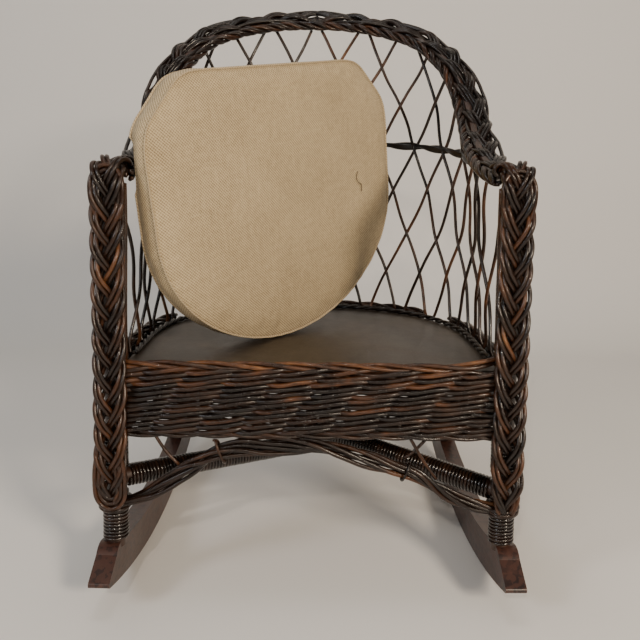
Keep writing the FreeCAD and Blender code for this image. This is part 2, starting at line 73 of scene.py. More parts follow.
def unit(v):
    v = np.asarray(v, float)
    return v / np.maximum(np.linalg.norm(v, axis=-1, keepdims=True), 1e-12)


def catmull(P, n=10):
    P = np.asarray(P, float)
    out = []
    for i in range(len(P) - 1):
        p0, p1, p2, p3 = P[max(i - 1, 0)], P[i], P[i + 1], P[min(i + 2, len(P) - 1)]
        t = np.linspace(0, 1, n, endpoint=False)[:, None]
        out.append(0.5 * ((2 * p1) + (-p0 + p2) * t + (2 * p0 - 5 * p1 + 4 * p2 - p3) * t * t + (-p0 + 3 * p1 - 3 * p2 + p3) * t ** 3))
    out.append(P[-1:])
    return np.vstack(out)


def resample(P, step):
    P = np.asarray(P, float)
    s = np.concatenate([[0], np.cumsum(np.linalg.norm(np.diff(P, axis=0), axis=1))])
    n = max(4, int(round(s[-1] / step)) + 1)
    q = np.linspace(0, s[-1], n)
    return np.stack([np.interp(q, s, P[:, k]) for k in range(P.shape[1])], -1), q


def smooth(P, k=2):
    P = P.copy()
    for _ in range(k):
        P[1:-1] = 0.25 * P[:-2] + 0.5 * P[1:-1] + 0.25 * P[2:]
    return P


def tangents(P):
    return unit(np.gradient(P, axis=0))


class Curve:
    def __init__(self, half):
        half = np.asarray(half, float)
        left = half[::-1][1:] * np.array([-1, 1, 1])
        self.p = np.vstack([half, left])[::-1]
        self.s = np.concatenate([[0], np.cumsum(np.linalg.norm(np.diff(self.p, axis=0), axis=1))])
        self.L = self.s[-1] / 2

    def at(self, sig):
        x = (np.asarray(sig, float) + 1) * self.L
        return np.stack([np.interp(x, self.s, self.p[:, k]) for k in range(3)], -1)

    def tan(self, sig, e=0.012):
        sig = np.asarray(sig, float)
        return unit(self.at(np.minimum(sig + e, 1)) - self.at(np.maximum(sig - e, -1)))

    def out(self, sig):
        t = self.tan(sig)
        n = np.stack([-t[..., 1], t[..., 0], np.zeros_like(t[..., 0])], -1)
        n = unit(n)
        c = self.at(sig)
        d = n[..., 0] * c[..., 0] + n[..., 1] * (c[..., 1] - 60)
        return n * np.where(d < 0, -1.0, 1.0)[..., None]


def rim_half(n=40):
    pts = [(193.5, 8.0, SEAT), (192.6, 50.0, SEAT)]
    for i in range(n + 1):
        t = math.pi / 2 * i / n
        c, s = math.cos(t), math.sin(t)
        pts.append((192.0 * abs(c) ** (2 / 2.35), 95.0 + 197.0 * abs(s) ** (2 / 2.35), SEAT))
    pts[-1] = (0.0, 292.0, SEAT)
    return pts


BORDER = [(194.0, -1.8, 448.2), (189.0, 22.0, 452.0), (185.0, 50.0, 459.0), (185.0, 85.0, 468.0),
          (187.0, 140.0, 488.0), (190.0, 180.0, 509.0), (189.0, 215.0, 533.0), (184.0, 237.0, 555.0),
          (175.0, 260.0, 579.0), (163.0, 285.0, 597.0), (144.6, 305.0, 614.0), (120.0, 322.0, 626.5),
          (88.7, 335.0, 636.0), (48.5, 345.0, 643.0), (0.0, 350.0, 645.5)]
RIM = Curve(rim_half())
EDGE = Curve(catmull(BORDER + [(-48.5, 345.0, 643.0)], 8)[:-8])


def edge_frame(sig):
    sig = np.asarray(sig, float)
    c, t, o = EDGE.at(sig), EDGE.tan(sig), EDGE.out(sig)
    w = np.clip(1 - np.abs(sig) / 0.62, 0, None)
    tilt = np.radians(24) * np.minimum(1, w * 1.6)
    o = o * np.cos(tilt)[..., None] + np.array([0, 0, 1.0]) * np.sin(tilt)[..., None]
    o = unit(o - t * (o * t).sum(-1, keepdims=True))
    u = np.cross(t, o)
    u = unit(u * np.where(u[..., 2] < 0, -1, 1)[..., None])
    return c, o, u


def leg_axis(sd, z):
    z = np.asarray(z, float)
    t = (z - 63.0) / (442.6 - 63.0)
    return np.stack([sd * (208.0 + (194.0 - 208.0) * t), np.zeros_like(z), z], -1)


def rocker_top(y):
    return 704.0 - math.sqrt(664.0 ** 2 - (y - 170.0) ** 2)


REAR_A = np.array([204.0, 312.0, rocker_top(312.0) - 2.0])
REAR_B = np.array([153.5, 218.0, 230.6])


def rear_axis(sd, t):
    p = REAR_A + (REAR_B - REAR_A) * t
    return p * np.array([sd, 1, 1])


# ------------------------------------------------------------------ mesh building
class Reeds:
    """Many round reeds gathered into one mesh, each with its own tone and run of length."""

    def __init__(self):
        self.v, self.f, self.tone, self.al, self.an = [], [], [], [], []
        self.n = 0

    def add(self, P, r, tone=None, n=8, flat=1.0, up=None, cap=True):
        P = np.asarray(P, float)
        N = len(P)
        T = tangents(P)
        nrm = np.zeros_like(P)
        if up is not None:
            U = np.broadcast_to(np.asarray(up, float), P.shape)
            nrm = unit(U - T * (U * T).sum(1, keepdims=True))
        else:
            ref = np.array([0, 0, 1.0]) if abs(T[0, 2]) < 0.8 else np.array([1.0, 0, 0])
            q = unit(ref - T[0] * ref.dot(T[0]))
            for i in range(N):
                q = q - T[i] * q.dot(T[i])
                q = q / max(np.linalg.norm(q), 1e-9)
                nrm[i] = q
        bi = np.cross(T, nrm)
        a = 2 * np.pi * np.arange(n) / n
        r = np.broadcast_to(np.asarray(r, float), (N,))
        ring = P[:, None, :] + r[:, None, None] * (flat * nrm[:, None, :] * np.cos(a)[None, :, None] + bi[:, None, :] * np.sin(a)[None, :, None])
        self.v.append(ring.reshape(-1, 3))
        base = self.n
        i = np.arange(N - 1)[:, None] * n
        j = np.arange(n)[None, :]
        j2 = (j + 1) % n
        q = np.stack([base + i + j, base + i + j2, base + i + n + j2, base + i + n + j], -1).reshape(-1, 4)
        self.f.append(q)
        s = np.concatenate([[0], np.cumsum(np.linalg.norm(np.diff(P, axis=0), axis=1))])
        off = RNG.uniform(0, 5000)
        self.al.append(np.repeat(s + off, n))
        self.an.append(np.tile(a / (2 * np.pi), N))
        if tone is None:
            tone = RNG.uniform(0.15, 0.75)
        self.tone.append(np.repeat(np.broadcast_to(np.asarray(tone, float), (N,)), n))
        self.n += N * n
        if cap:
            for k, p, idx in ((0, P[0] - T[0] * r[0] * 0.35, np.arange(n)[::-1]), (N - 1, P[-1] + T[-1] * r[-1] * 0.35, np.arange(n))):
                c = self.n
                self.v.append(p[None, :])
                self.al.append(np.array([s[k] + off]))
                self.an.append(np.array([0.0]))
                self.tone.append(np.array([float(np.broadcast_to(np.asarray(tone, float), (N,))[k])]))
                self.n += 1
                ii = base + k * n + idx
                jj = np.roll(ii, -1)
                self.f.append(np.stack([ii, jj, np.full(n, c), np.full(n, -1)], -1))

    def build(self, name, mat):
        v = world(np.vstack(self.v))
        me = bpy.data.meshes.new(name)
        faces = np.vstack(self.f)
        quad = faces[:, 3] >= 0
        lens = np.where(quad, 4, 3)
        flatv = faces.reshape(-1)
        flatv = flatv[flatv >= 0]
        me.vertices.add(len(v))
        me.vertices.foreach_set("co", v.astype(np.float32).ravel())
        me.loops.add(len(flatv))
        me.loops.foreach_set("vertex_index", flatv.astype(np.int32))
        me.polygons.add(len(faces))
        st = np.concatenate([[0], np.cumsum(lens)[:-1]])
        me.polygons.foreach_set("loop_start", st.astype(np.int32))
        me.polygons.foreach_set("loop_total", lens.astype(np.int32))
        me.polygons.foreach_set("use_smooth", np.ones(len(faces), bool))
        me.update(calc_edges=True)
        for nm, data in (("tone", self.tone), ("along", self.al), ("ang", self.an)):
            at = me.attributes.new(nm, "FLOAT", "POINT")
            at.data.foreach_set("value", np.concatenate(data).astype(np.float32))
        me.validate()
        ob = bpy.data.objects.new(name, me)
        bpy.context.scene.collection.objects.link(ob)
        me.materials.append(mat)
        return ob


def helix(a, b, rad, r, pitch, acc, seg=18, tone=None, n=6):
    a, b = np.asarray(a, float), np.asarray(b, float)
    d = b - a
    L = np.linalg.norm(d)
    t = d / L
    ref = np.array([0, 0, 1.0]) if abs(t[2]) < 0.8 else np.array([0, 1.0, 0])
    x = unit(np.cross(t, ref))
    y = np.cross(t, x)
    turns = L / pitch
    k = np.linspace(0, turns, int(turns * seg) + 1)
    ang = 2 * np.pi * k
    wob = 0.10 * np.sin(ang * 0.37) + 0.08 * np.sin(ang * 0.113 + 1)
    P = a + t * (k * pitch)[:, None] + (rad + wob)[:, None] * (x * np.cos(ang)[:, None] + y * np.sin(ang)[:, None])
    tn = 0.42 + 0.22 * np.sin(k * 0.9 + RNG.uniform(0, 6)) * RNG.uniform(0.4, 1) if tone is None else tone
    acc.add(P, r, tone=tn, n=n, up=np.tile(t, (len(P), 1)))


def noise1(s, scale, seed, amp=1.0):
    g = np.random.default_rng(seed)
    ph = g.uniform(0, 2 * np.pi, 4)
    fr = g.uniform(0.6, 1.6, 4) * np.array([1, 1.7, 2.6, 0.5])
    w = np.array([0.5, 0.25, 0.15, 0.4])
    return amp * sum(w[i] * np.sin(2 * np.pi * s / scale * fr[i] + ph[i]) for i in range(4))


# ------------------------------------------------------------------ materials
def new_mat(name):
    m = bpy.data.materials.new(name)
    m.use_nodes = True
    nt = m.node_tree
    nt.nodes.clear()
    out = nt.nodes.new("ShaderNodeOutputMaterial")
    bs = nt.nodes.new("ShaderNodeBsdfPrincipled")
    nt.links.new(bs.outputs[0], out.inputs[0])
    return m, nt, bs


def node(nt, kind, **kw):
    n = nt.nodes.new(kind)
    for k, v in kw.items():
        setattr(n, k, v)
    return n


def ramp(nt, fac, stops):
    n = nt.nodes.new("ShaderNodeValToRGB")
    el = n.color_ramp.elements
    while len(el) > 1:
        el.remove(el[-1])
    el[0].position = stops[0][0]
    el[0].color = tuple(stops[0][1]) + (1,)
    for p, c in stops[1:]:
        e = el.new(p)
        e.color = tuple(c) + (1,)
    nt.links.new(fac, n.inputs[0])
    return n.outputs[0]


def math_(nt, op, a, b=None, clamp=False):
    n = nt.nodes.new("ShaderNodeMath")
    n.operation = op
    n.use_clamp = clamp
    for i, v in enumerate((a, b)):
        if v is None:
            continue
        if isinstance(v, (int, float)):
            n.inputs[i].default_value = v
        else:
            nt.links.new(v, n.inputs[i])
    return n.outputs[0]


def mix_col(nt, fac, a, b, mode="MIX"):
    n = nt.nodes.new("ShaderNodeMix")
    n.data_type = "RGBA"
    n.blend_type = mode
    for i, v in ((0, fac), (6, a), (7, b)):
        if isinstance(v, (int, float)):
            n.inputs[i].default_value = v
        elif isinstance(v, tuple):
            n.inputs[i].default_value = v + (1,)
        else:
            nt.links.new(v, n.inputs[i])
    return n.outputs[2]


def noise(nt, vec, scale, detail=3.0, rough=0.55, dist=0.0):
    n = nt.nodes.new("ShaderNodeTexNoise")
    n.inputs["Scale"].default_value = scale
    n.inputs["Detail"].default_value = detail
    n.inputs["Roughness"].default_value = rough
    n.inputs["Distortion"].default_value = dist
    nt.links.new(vec, n.inputs["Vector"])
    return n.outputs[0]


def combine(nt, x, y, z):
    n = nt.nodes.new("ShaderNodeCombineXYZ")
    for i, v in enumerate((x, y, z)):
        if isinstance(v, (int, float)):
            n.inputs[i].default_value = v
        else:
            nt.links.new(v, n.inputs[i])
    return n.outputs[0]


def attr(nt, name):
    n = nt.nodes.new("ShaderNodeAttribute")
    n.attribute_name = name
    return n.outputs["Fac"]


def bump(nt, h, strength, dist, bs, prev=None):
    n = nt.nodes.new("ShaderNodeBump")
    n.inputs["Strength"].default_value = strength
    n.inputs["Distance"].default_value = dist
    nt.links.new(h, n.inputs["Height"])
    if prev is not None:
        nt.links.new(prev, n.inputs["Normal"])
    nt.links.new(n.outputs[0], bs.inputs["Normal"])
    return n.outputs[0]


def reed_material(name, shift=0.0, gloss=0.24, coat=0.16):
    m, nt, bs = new_mat(name)
    tone, al, an = attr(nt, "tone"), attr(nt, "along"), attr(nt, "ang")
    tc = node(nt, "ShaderNodeTexCoord").outputs["Object"]
    ca = math_(nt, "COSINE", math_(nt, "MULTIPLY", an, 2 * math.pi))
    sa = math_(nt, "SINE", math_(nt, "MULTIPLY", an, 2 * math.pi))
    vec = combine(nt, math_(nt, "MULTIPLY", al, 0.06), ca, sa)
    streak = noise(nt, vec, 1.7, 4.0, 0.62)
    fine = noise(nt, combine(nt, math_(nt, "MULTIPLY", al, 0.05), math_(nt, "MULTIPLY", ca, 4.0), math_(nt, "MULTIPLY", sa, 4.0)), 2.2, 3.0, 0.7)
    patch = noise(nt, tc, 34.0, 3.0, 0.6)
    v = math_(nt, "ADD", math_(nt, "MULTIPLY", tone, 0.62), math_(nt, "MULTIPLY", math_(nt, "SUBTRACT", streak, 0.5), 0.62))
    v = math_(nt, "ADD", v, math_(nt, "MULTIPLY", math_(nt, "SUBTRACT", patch, 0.5), 0.55))
    v = math_(nt, "ADD", v, math_(nt, "MULTIPLY", math_(nt, "SUBTRACT", fine, 0.5), 0.22))
    v = math_(nt, "ADD", v, 0.05 + shift, clamp=True)
    col = ramp(nt, v, [(0.0, (0.0045, 0.0026, 0.0019)), (0.26, (0.010, 0.0050, 0.0030)), (0.44, (0.025, 0.0105, 0.0050)),
                       (0.60, (0.072, 0.027, 0.0105)), (0.76, (0.165, 0.068, 0.023)), (0.90, (0.36, 0.185, 0.064)), (1.0, (0.50, 0.30, 0.125))])
    nt.links.new(col, bs.inputs["Base Color"])
    rg = math_(nt, "ADD", math_(nt, "MULTIPLY", patch, 0.26), math_(nt, "ADD", math_(nt, "MULTIPLY", fine, 0.12), gloss - 0.14), clamp=True)
    nt.links.new(rg, bs.inputs["Roughness"])
    bs.inputs["Coat Weight"].default_value = coat
    bs.inputs["Coat Roughness"].default_value = 0.08
    bs.inputs["Specular IOR Level"].default_value = 0.34
    h = math_(nt, "ADD", math_(nt, "MULTIPLY", fine, 0.6), math_(nt, "MULTIPLY", patch, 0.4))
    bump(nt, h, 0.45, 0.0006, bs)
    return m


def wood_material(name, dark, mid, worn, wear=0.5, axis=1, gloss=0.36):
    m, nt, bs = new_mat(name)
    tc = node(nt, "ShaderNodeTexCoord").outputs["Object"]
    mp = node(nt, "ShaderNodeMapping")
    sc = [130.0, 130.0, 130.0]
    sc[axis] = 7.0
    mp.inputs["Scale"].default_value = sc
    nt.links.new(tc, mp.inputs["Vector"])
    grain = noise(nt, mp.outputs[0], 1.0, 6.0, 0.62, 0.4)
    pores = noise(nt, mp.outputs[0], 4.0, 3.0, 0.7)
    blot = noise(nt, tc, 22.0, 4.0, 0.6)
    scr = noise(nt, tc, 150.0, 2.0, 0.6)
    v = math_(nt, "ADD", math_(nt, "MULTIPLY", grain, 0.62), math_(nt, "MULTIPLY", blot, 0.42))
    col = ramp(nt, v, [(0.28, dark), (0.52, mid), (0.72, worn)])
    geo = node(nt, "ShaderNodeNewGeometry")
    ed = ramp(nt, geo.outputs["Pointiness"], [(0.505, (0, 0, 0)), (0.56, (1, 1, 1))])
    edf = math_(nt, "MULTIPLY", ed, math_(nt, "MULTIPLY", math_(nt, "GREATER_THAN", scr, 0.46), wear), clamp=True)
    col = mix_col(nt, edf, col, worn)
    nt.links.new(col, bs.inputs["Base Color"])
    rg = math_(nt, "ADD", math_(nt, "MULTIPLY", blot, 0.30), math_(nt, "ADD", math_(nt, "MULTIPLY", pores, 0.18), gloss - 0.22), clamp=True)
    nt.links.new(rg, bs.inputs["Roughness"])
    bs.inputs["Coat Weight"].default_value = 0.18
    bs.inputs["Coat Roughness"].default_value = 0.28
    h = math_(nt, "ADD", math_(nt, "MULTIPLY", grain, 0.6), math_(nt, "MULTIPLY", pores, 0.4))
    bump(nt, h, 0.35, 0.0007, bs)
    return m


def seat_material():
    m, nt, bs = new_mat("seat_covering")
    tc = node(nt, "ShaderNodeTexCoord").outputs["Object"]
    blot = noise(nt, tc, 11.0, 5.0, 0.62, 0.6)
    mott = noise(nt, tc, 60.0, 4.0, 0.6, 0.3)
    grit = noise(nt, tc, 420.0, 2.0, 0.6)
    mp = node(nt, "ShaderNodeMapping")
    mp.inputs["Scale"].default_value = (16.0, 190.0, 190.0)
    nt.links.new(tc, mp.inputs["Vector"])
    brush = noise(nt, mp.outputs[0], 1.0, 4.0, 0.7)
    v = math_(nt, "ADD", math_(nt, "MULTIPLY", blot, 0.5), math_(nt, "ADD", math_(nt, "MULTIPLY", mott, 0.3), math_(nt, "MULTIPLY", brush, 0.22)))
    col = ramp(nt, v, [(0.30, (0.017, 0.012, 0.009)), (0.50, (0.036, 0.027, 0.019)), (0.64, (0.068, 0.052, 0.037)), (0.80, (0.115, 0.091, 0.066))])
    nt.links.new(col, bs.inputs["Base Color"])
    rg = math_(nt, "ADD", math_(nt, "MULTIPLY", blot, 0.35), math_(nt, "ADD", math_(nt, "MULTIPLY", grit, 0.12), 0.22), clamp=True)
    nt.links.new(rg, bs.inputs["Roughness"])
    h = math_(nt, "ADD", math_(nt, "MULTIPLY", grit, 0.5), math_(nt, "MULTIPLY", mott, 0.5))
    bump(nt, h, 0.3, 0.0006, bs)
    return m


def cloth_material(name, light, mid, dark, pitch=1.7):
    """Coarse plain cloth of slubby yarns, read from the uv of the panels in millimetres."""
    m, nt, bs = new_mat(name)
    uvn = node(nt, "ShaderNodeUVMap")
    uvn.uv_map = "cloth"
    sep = node(nt, "ShaderNodeSeparateXYZ")
    nt.links.new(uvn.outputs[0], sep.inputs[0])
    u, v = sep.outputs[0], sep.outputs[1]
    uv3 = combine(nt, u, v, 0.0)
    slub_u = noise(nt, combine(nt, math_(nt, "MULTIPLY", u, 3.0), math_(nt, "MULTIPLY", v, 60.0), 0.0), 10.0, 2.0, 0.5)
    slub_v = noise(nt, combine(nt, math_(nt, "MULTIPLY", u, 60.0), math_(nt, "MULTIPLY", v, 3.0), 3.0), 10.0, 2.0, 0.5)
    k = 2 * math.pi / (pitch / 1000.0)
    wu = math_(nt, "SINE", math_(nt, "ADD", math_(nt, "MULTIPLY", u, k), math_(nt, "MULTIPLY", slub_v, 3.0)))
    wv = math_(nt, "SINE", math_(nt, "ADD", math_(nt, "MULTIPLY", v, k), math_(nt, "MULTIPLY", slub_u, 3.0)))
    cross = math_(nt, "MULTIPLY", wu, wv)
    tw = math_(nt, "SINE", math_(nt, "ADD", math_(nt, "MULTIPLY", math_(nt, "ADD", u, v), k * 0.5), math_(nt, "MULTIPLY", slub_u, 2.0)))
    tw2 = math_(nt, "SINE", math_(nt, "ADD", math_(nt, "MULTIPLY", math_(nt, "SUBTRACT", u, v), k * 0.5), math_(nt, "MULTIPLY", slub_v, 2.0)))
    pat = math_(nt, "ADD", math_(nt, "MULTIPLY", cross, 0.30), math_(nt, "ADD", math_(nt, "MULTIPLY", tw, 0.22), math_(nt, "MULTIPLY", tw2, 0.12)))
    big = noise(nt, uv3, 14.0, 4.0, 0.6)
    mid_n = noise(nt, uv3, 160.0, 3.0, 0.65)
    yarn = math_(nt, "ADD", math_(nt, "MULTIPLY", slub_u, 0.5), math_(nt, "MULTIPLY", slub_v, 0.5))
    f = math_(nt, "ADD", math_(nt, "MULTIPLY", pat, 0.95), math_(nt, "ADD", math_(nt, "MULTIPLY", big, 0.30), math_(nt, "ADD", math_(nt, "MULTIPLY", mid_n, 0.34), math_(nt, "MULTIPLY", yarn, 0.36))))
    col = ramp(nt, f, [(0.22, dark), (0.50, mid), (0.78, light)])
    nt.links.new(col, bs.inputs["Base Color"])
    bs.inputs["Roughness"].default_value = 0.92
    bs.inputs["Specular IOR Level"].default_value = 0.18
    bs.inputs["Sheen Weight"].default_value = 0.12
    bs.inputs["Sheen Roughness"].default_value = 0.5
    h = math_(nt, "ADD", math_(nt, "MULTIPLY", pat, 0.7), math_(nt, "MULTIPLY", yarn, 0.5))
    bump(nt, h, 0.55, 0.0006, bs)
    return m


M_REED = reed_material("reed_varnished")
M_REED_DARK = reed_material("reed_dark", shift=-0.13, gloss=0.28)
M_WRAP = reed_material("reed_wrapping", shift=-0.03, gloss=0.17, coat=0.55)
M_ROCK = wood_material("rocker_wood", (0.008, 0.0038, 0.0030), (0.022, 0.0085, 0.0062), (0.070, 0.027, 0.017), 0.6, 1, 0.42)
M_FRAME = wood_material("frame_wood", (0.008, 0.004, 0.003), (0.024, 0.010, 0.006), (0.07, 0.03, 0.015), 0.3, 2, 0.42)
M_BOARD = wood_material("board_wood", (0.06, 0.03, 0.015), (0.14, 0.08, 0.04), (0.22, 0.14, 0.08), 0.3, 0, 0.6)
M_SEAT = seat_material()
M_CLOTH = cloth_material("cushion_cloth", (0.64, 0.515, 0.325), (0.455, 0.352, 0.207), (0.215, 0.158, 0.090), 1.7)

for nm, ob in frame["nodes"].items():
    mat = None
    if nm.startswith("rocker"):
        mat = M_ROCK
    elif nm == "seat_cover":
        mat = M_SEAT
    elif nm == "seat_board":
        mat = M_BOARD
    elif nm.startswith(("front_leg_left", "front_leg_right", "rear_leg_left", "rear_leg_right", "stretcher_left", "stretcher_right")) or nm in ("seat_hoop", "front_rail", "border_core"):
        mat = M_FRAME
    else:
        mat = M_FRAME
    ob.data.materials.clear()
    ob.data.materials.append(mat)

# ------------------------------------------------------------------ plait that runs down each post, over the arm and round the back


def ribbon(P, W, N, step=3.2):
    allv, s = resample(np.hstack([P, W, N]), step)
    P, W, N = smooth(allv[:, :3], 3), unit(smooth(allv[:, 3:6], 6)), smooth(allv[:, 6:9], 6)
    T = tangents(P)
    W = unit(W - T * (W * T).sum(1, keepdims=True))
    N = unit(N - T * (N * T).sum(1, keepdims=True) - W * (N * W).sum(1, keepdims=True))
    return P, W, N, T, s


def post_ribbon(sd):
    """From the arm, forward over the top of the leg and down its front."""
    top = np.array([(189.5, 24.0, 457.5), (191.0, 12.0, 460.5), (192.6, 0.0, 461.6), (193.6, -9.5, 458.6), (194.0, -15.6, 451.0), (194.2, -17.4, 441.0)])
    zl = np.linspace(432.0, 107.0, 60)
    L = leg_axis(1, zl)
    L[:, 1] = -17.4
    P = np.vstack([catmull(top, 5), L]) * np.array([sd, 1, 1])
    T = tangents(P)
    W = np.tile([float(sd), 0, 0], (len(P), 1))
    N = np.stack([np.zeros(len(P)), T[:, 2], -T[:, 1]], 1)
    return ribbon(P, W, N, 2.8)


def border_ribbon(sd):
    sig = np.linspace(0.0, 0.992, 150) * sd
    c, o, u = edge_frame(sig)
    w = np.clip(1 - np.abs(sig) / 0.66, 0, 1)[:, None] ** 0.6
    return ribbon(c + o * 2.6 + u * (0.4 + 4.2 * w), o, u, 3.4)


def braid(acc, rb, n, m, A, B, L, gap, r, seed, taper=None, jit=0.5, tones=(0.22, 0.72), sides=7):
    P, W, N, T, s = rb
    th = 2 * np.pi * s / L
    endf = np.ones_like(s) if taper is None else np.clip((s[-1] - s) / taper, 0, 1) ** 0.7
    for k in range(n):
        base_tone = RNG.uniform(*tones)
        for j in np.linspace(-(m - 1) / 2, (m - 1) / 2, m):
            sid = int(seed + 10 * k + 2 * j + 3)
            ph = th + 2 * np.pi * k / n + noise1(s, 190.0, seed + k, 0.09)
            x = A * np.sin(ph) * (0.45 + 0.55 * endf) + noise1(s, 70.0, sid + 50, jit)
            al = np.arctan(np.gradient(x, s))
            depth = -B * np.sin(2 * ph) * (0.3 + 0.7 * endf) + noise1(s, 60.0, sid + 90, jit * 0.6)
            g = j * gap * (0.5 + 0.5 * endf) * (1 + 0.10 * noise1(s, 80.0, sid + 21))
            q = W * np.cos(al)[:, None] - T * np.sin(al)[:, None]
            path = P + W * x[:, None] + N * depth[:, None] + q * g[:, None]
            rr = r + 0.16 * noise1(s, 300.0, sid + 7)
            # painted shade: the 0.16 * |sin(ph)|^3 term makes each strand darker toward the middle of the plait, where
            # the strands dive in, and lighter toward the plait's edges
            tone = np.clip(0.5 * base_tone + 0.5 * RNG.uniform(*tones) + 0.16 * np.abs(np.sin(ph)) ** 3 + noise1(s, 220.0, sid + 33, 0.20), 0.02, 0.98)
            acc.add(path, rr, tone=tone, n=sides, up=N)


plait = Reeds()
for sd in (1, -1):
    rb = post_ribbon(sd)
    braid(plait, rb, 5, 2, 12.6, 4.6, 123.0, 4.55, 2.22, 100 + 400 * (sd < 0), taper=30.0, jit=0.45)
    # reeds that turn round the head of the plait
    for i, rad in enumerate((15.4, 11.6, 7.8)):
        a = np.linspace(0, np.pi, 26)
        arc = np.stack([sd * 194.2 + rad * np.cos(a), -19.4 + 0.9 * i + 4.5 * np.sin(a), 441.0 + rad * 1.18 * np.sin(a)], 1)
        d0 = np.array([[sd * 194.2 + rad * 0.70, -17.2, 408.0 + 7 * i], [sd * 194.2 + rad * 0.98, -19.9, 427.0]])
        d1 = np.array([[sd * 194.2 - rad * 0.98, -19.9, 427.0], [sd * 194.2 - rad * 0.66, -17.0, 406.0 + 9 * i]])
        path, _ = resample(catmull(np.vstack([d0, arc, d1]), 4), 2.5)
        plait.add(smooth(path, 3), 2.15, tone=0.66 - 0.13 * i, n=7)
    # small eye where the arm meets the post, on the inner side
    if sd > 0:
        a = np.linspace(0, 2 * np.pi * 1.2, 30)
        path = np.stack([sd * (177.0 + 5.2 * np.cos(a)), -8.5 + 1.2 * a / 6.0, 459.0 + 5.6 * np.sin(a)], 1)
        plait.add(path, 1.9, tone=0.42, n=7)
    rbb = border_ribbon(sd)
    braid(plait, rbb, 3, 3, 10.4, 4.8, 150.0, 4.5, 2.3, 1100 + 400 * (sd < 0), jit=0.9, tones=(0.02, 0.36))
    P, W, N, T, s = rbb
    for j, (x0, lam, tn) in enumerate(((14.6, 128.0, 0.22), (10.0, 171.0, 0.34), (-11.5, 143.0, 0.18))):
        x = x0 + 2.6 * np.sin(2 * np.pi * s / lam + j) + noise1(s, 90.0, 1300 + j, 0.8)
        d = 1.2 + 2.6 * np.cos(2 * np.pi * s / lam + 1.3 * j)
        plait.add(P + W * x[:, None] + N * d[:, None], 2.1, tone=np.clip(tn + noise1(s, 200.0, 1320 + j, 0.15), 0.02, 0.9), n=7, up=N)
# binding turns under the post plaits
for sd in (1, -1):
    for i, (z, rad) in enumerate(((105.0, 14.4), (108.8, 15.0), (101.4, 14.0))):
        if sd < 0 and i == 2:
            continue
        a = np.linspace(0, 2 * np.pi, 40)
        c = leg_axis(sd, z)
        path = np.stack([c[0] + (rad + 1.2) * np.cos(a), c[1] - 1.6 + (rad + 1.4) * np.sin(a), c[2] + 1.2 * np.sin(a + i)], 1)
        plait.add(path, 2.1, tone=0.62 if i == 0 else 0.45, n=7)
for i, rad in enumerate((15.6, 11.4, 7.4)):
    sd = -1
    a = np.linspace(np.pi, 2 * np.pi, 26)
    c = leg_axis(sd, 126.0)
    arc = np.stack([c[0] + rad * np.cos(a), np.full_like(a, -21.5 + 0.7 * i), 128.0 + rad * 1.25 * np.sin(a)], 1)
    upl = np.array([[c[0] - rad * 0.62, -17.0, 184.0 - 9 * i], [c[0] - rad * 0.96, -20.6, 152.0 - 4 * i]])
    upr = np.array([[c[0] + rad * 0.96, -20.6, 152.0 - 4 * i], [c[0] + rad * 0.60, -17.0, 180.0 - 9 * i]])
    path, _ = resample(catmull(np.vstack([upl, arc, upr]), 4), 2.5)
    plait.add(smooth(path, 3), 2.2, tone=0.74 - 0.14 * i, n=7)
ob = plait.build("plait_border_and_posts", M_REED)
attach(ob, "chair")
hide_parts("border_plait", "post_plait_left", "post_plait_right", "arm_scroll_left", "arm_scroll_right")

# ------------------------------------------------------------------ rope along the inner side of the border
rope = Reeds()
sig = np.linspace(-0.985, 0.985, 420)
c, o, u = edge_frame(sig)
base = c - o * 14.8 - u * 0.6
s = np.concatenate([[0], np.cumsum(np.linalg.norm(np.diff(base, axis=0), axis=1))])
for k in range(3):
    for j in range(2):
        sid = 900 + k * 2 + j
        ph = 2 * np.pi * s / 58.0 + 2 * np.pi * k / 3 + 0.62 * (j - 0.5) + noise1(s, 200.0, sid, 0.15)
        rr = 3.9 + 0.4 * noise1(s, 70.0, sid + 40)
        path = base + o * (rr * np.cos(ph))[:, None] + u * (rr * np.sin(ph))[:, None]
        rope.add(path, 2.15, tone=np.clip(RNG.uniform(0.2, 0.62) + noise1(s, 240.0, sid + 9, 0.2), 0.02, 0.95), n=7, up=u)
ob = rope.build("rope_inside_border", M_REED)
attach(ob, "chair"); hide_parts("border_rope")

# ------------------------------------------------------------------ lattice of stakes
PITCH, RISE = 49.0, 110.0


def wall_point(arc, h, off):
    arc, h, off = np.broadcast_arrays(np.asarray(arc, float), np.asarray(h, float), np.asarray(off, float))
    sg = arc / RIM.L
    a = RIM.at(sg) + RIM.out(sg) * 4.5
    a = np.stack([a[..., 0], a[..., 1], np.full_like(sg, SEAT)], -1)
    ce, oe, ue = edge_frame(sg)
    b = ce - oe * 3.8
    H = b[..., 2] - SEAT
    f = h / H
    fc = np.clip(f, 0, 1)[..., None]
    oo = unit(RIM.out(sg) * (1 - fc) + EDGE.out(sg) * fc)
    p = a + (b - a) * np.clip(f, 0, None)[..., None]
    p[..., 2] = SEAT + h
    return p + oo * off[..., None], H


def drift(h):
    q = h - 6.0
    return PITCH * 0.5 * (q + np.sqrt(q * q + 400.0)) / RISE


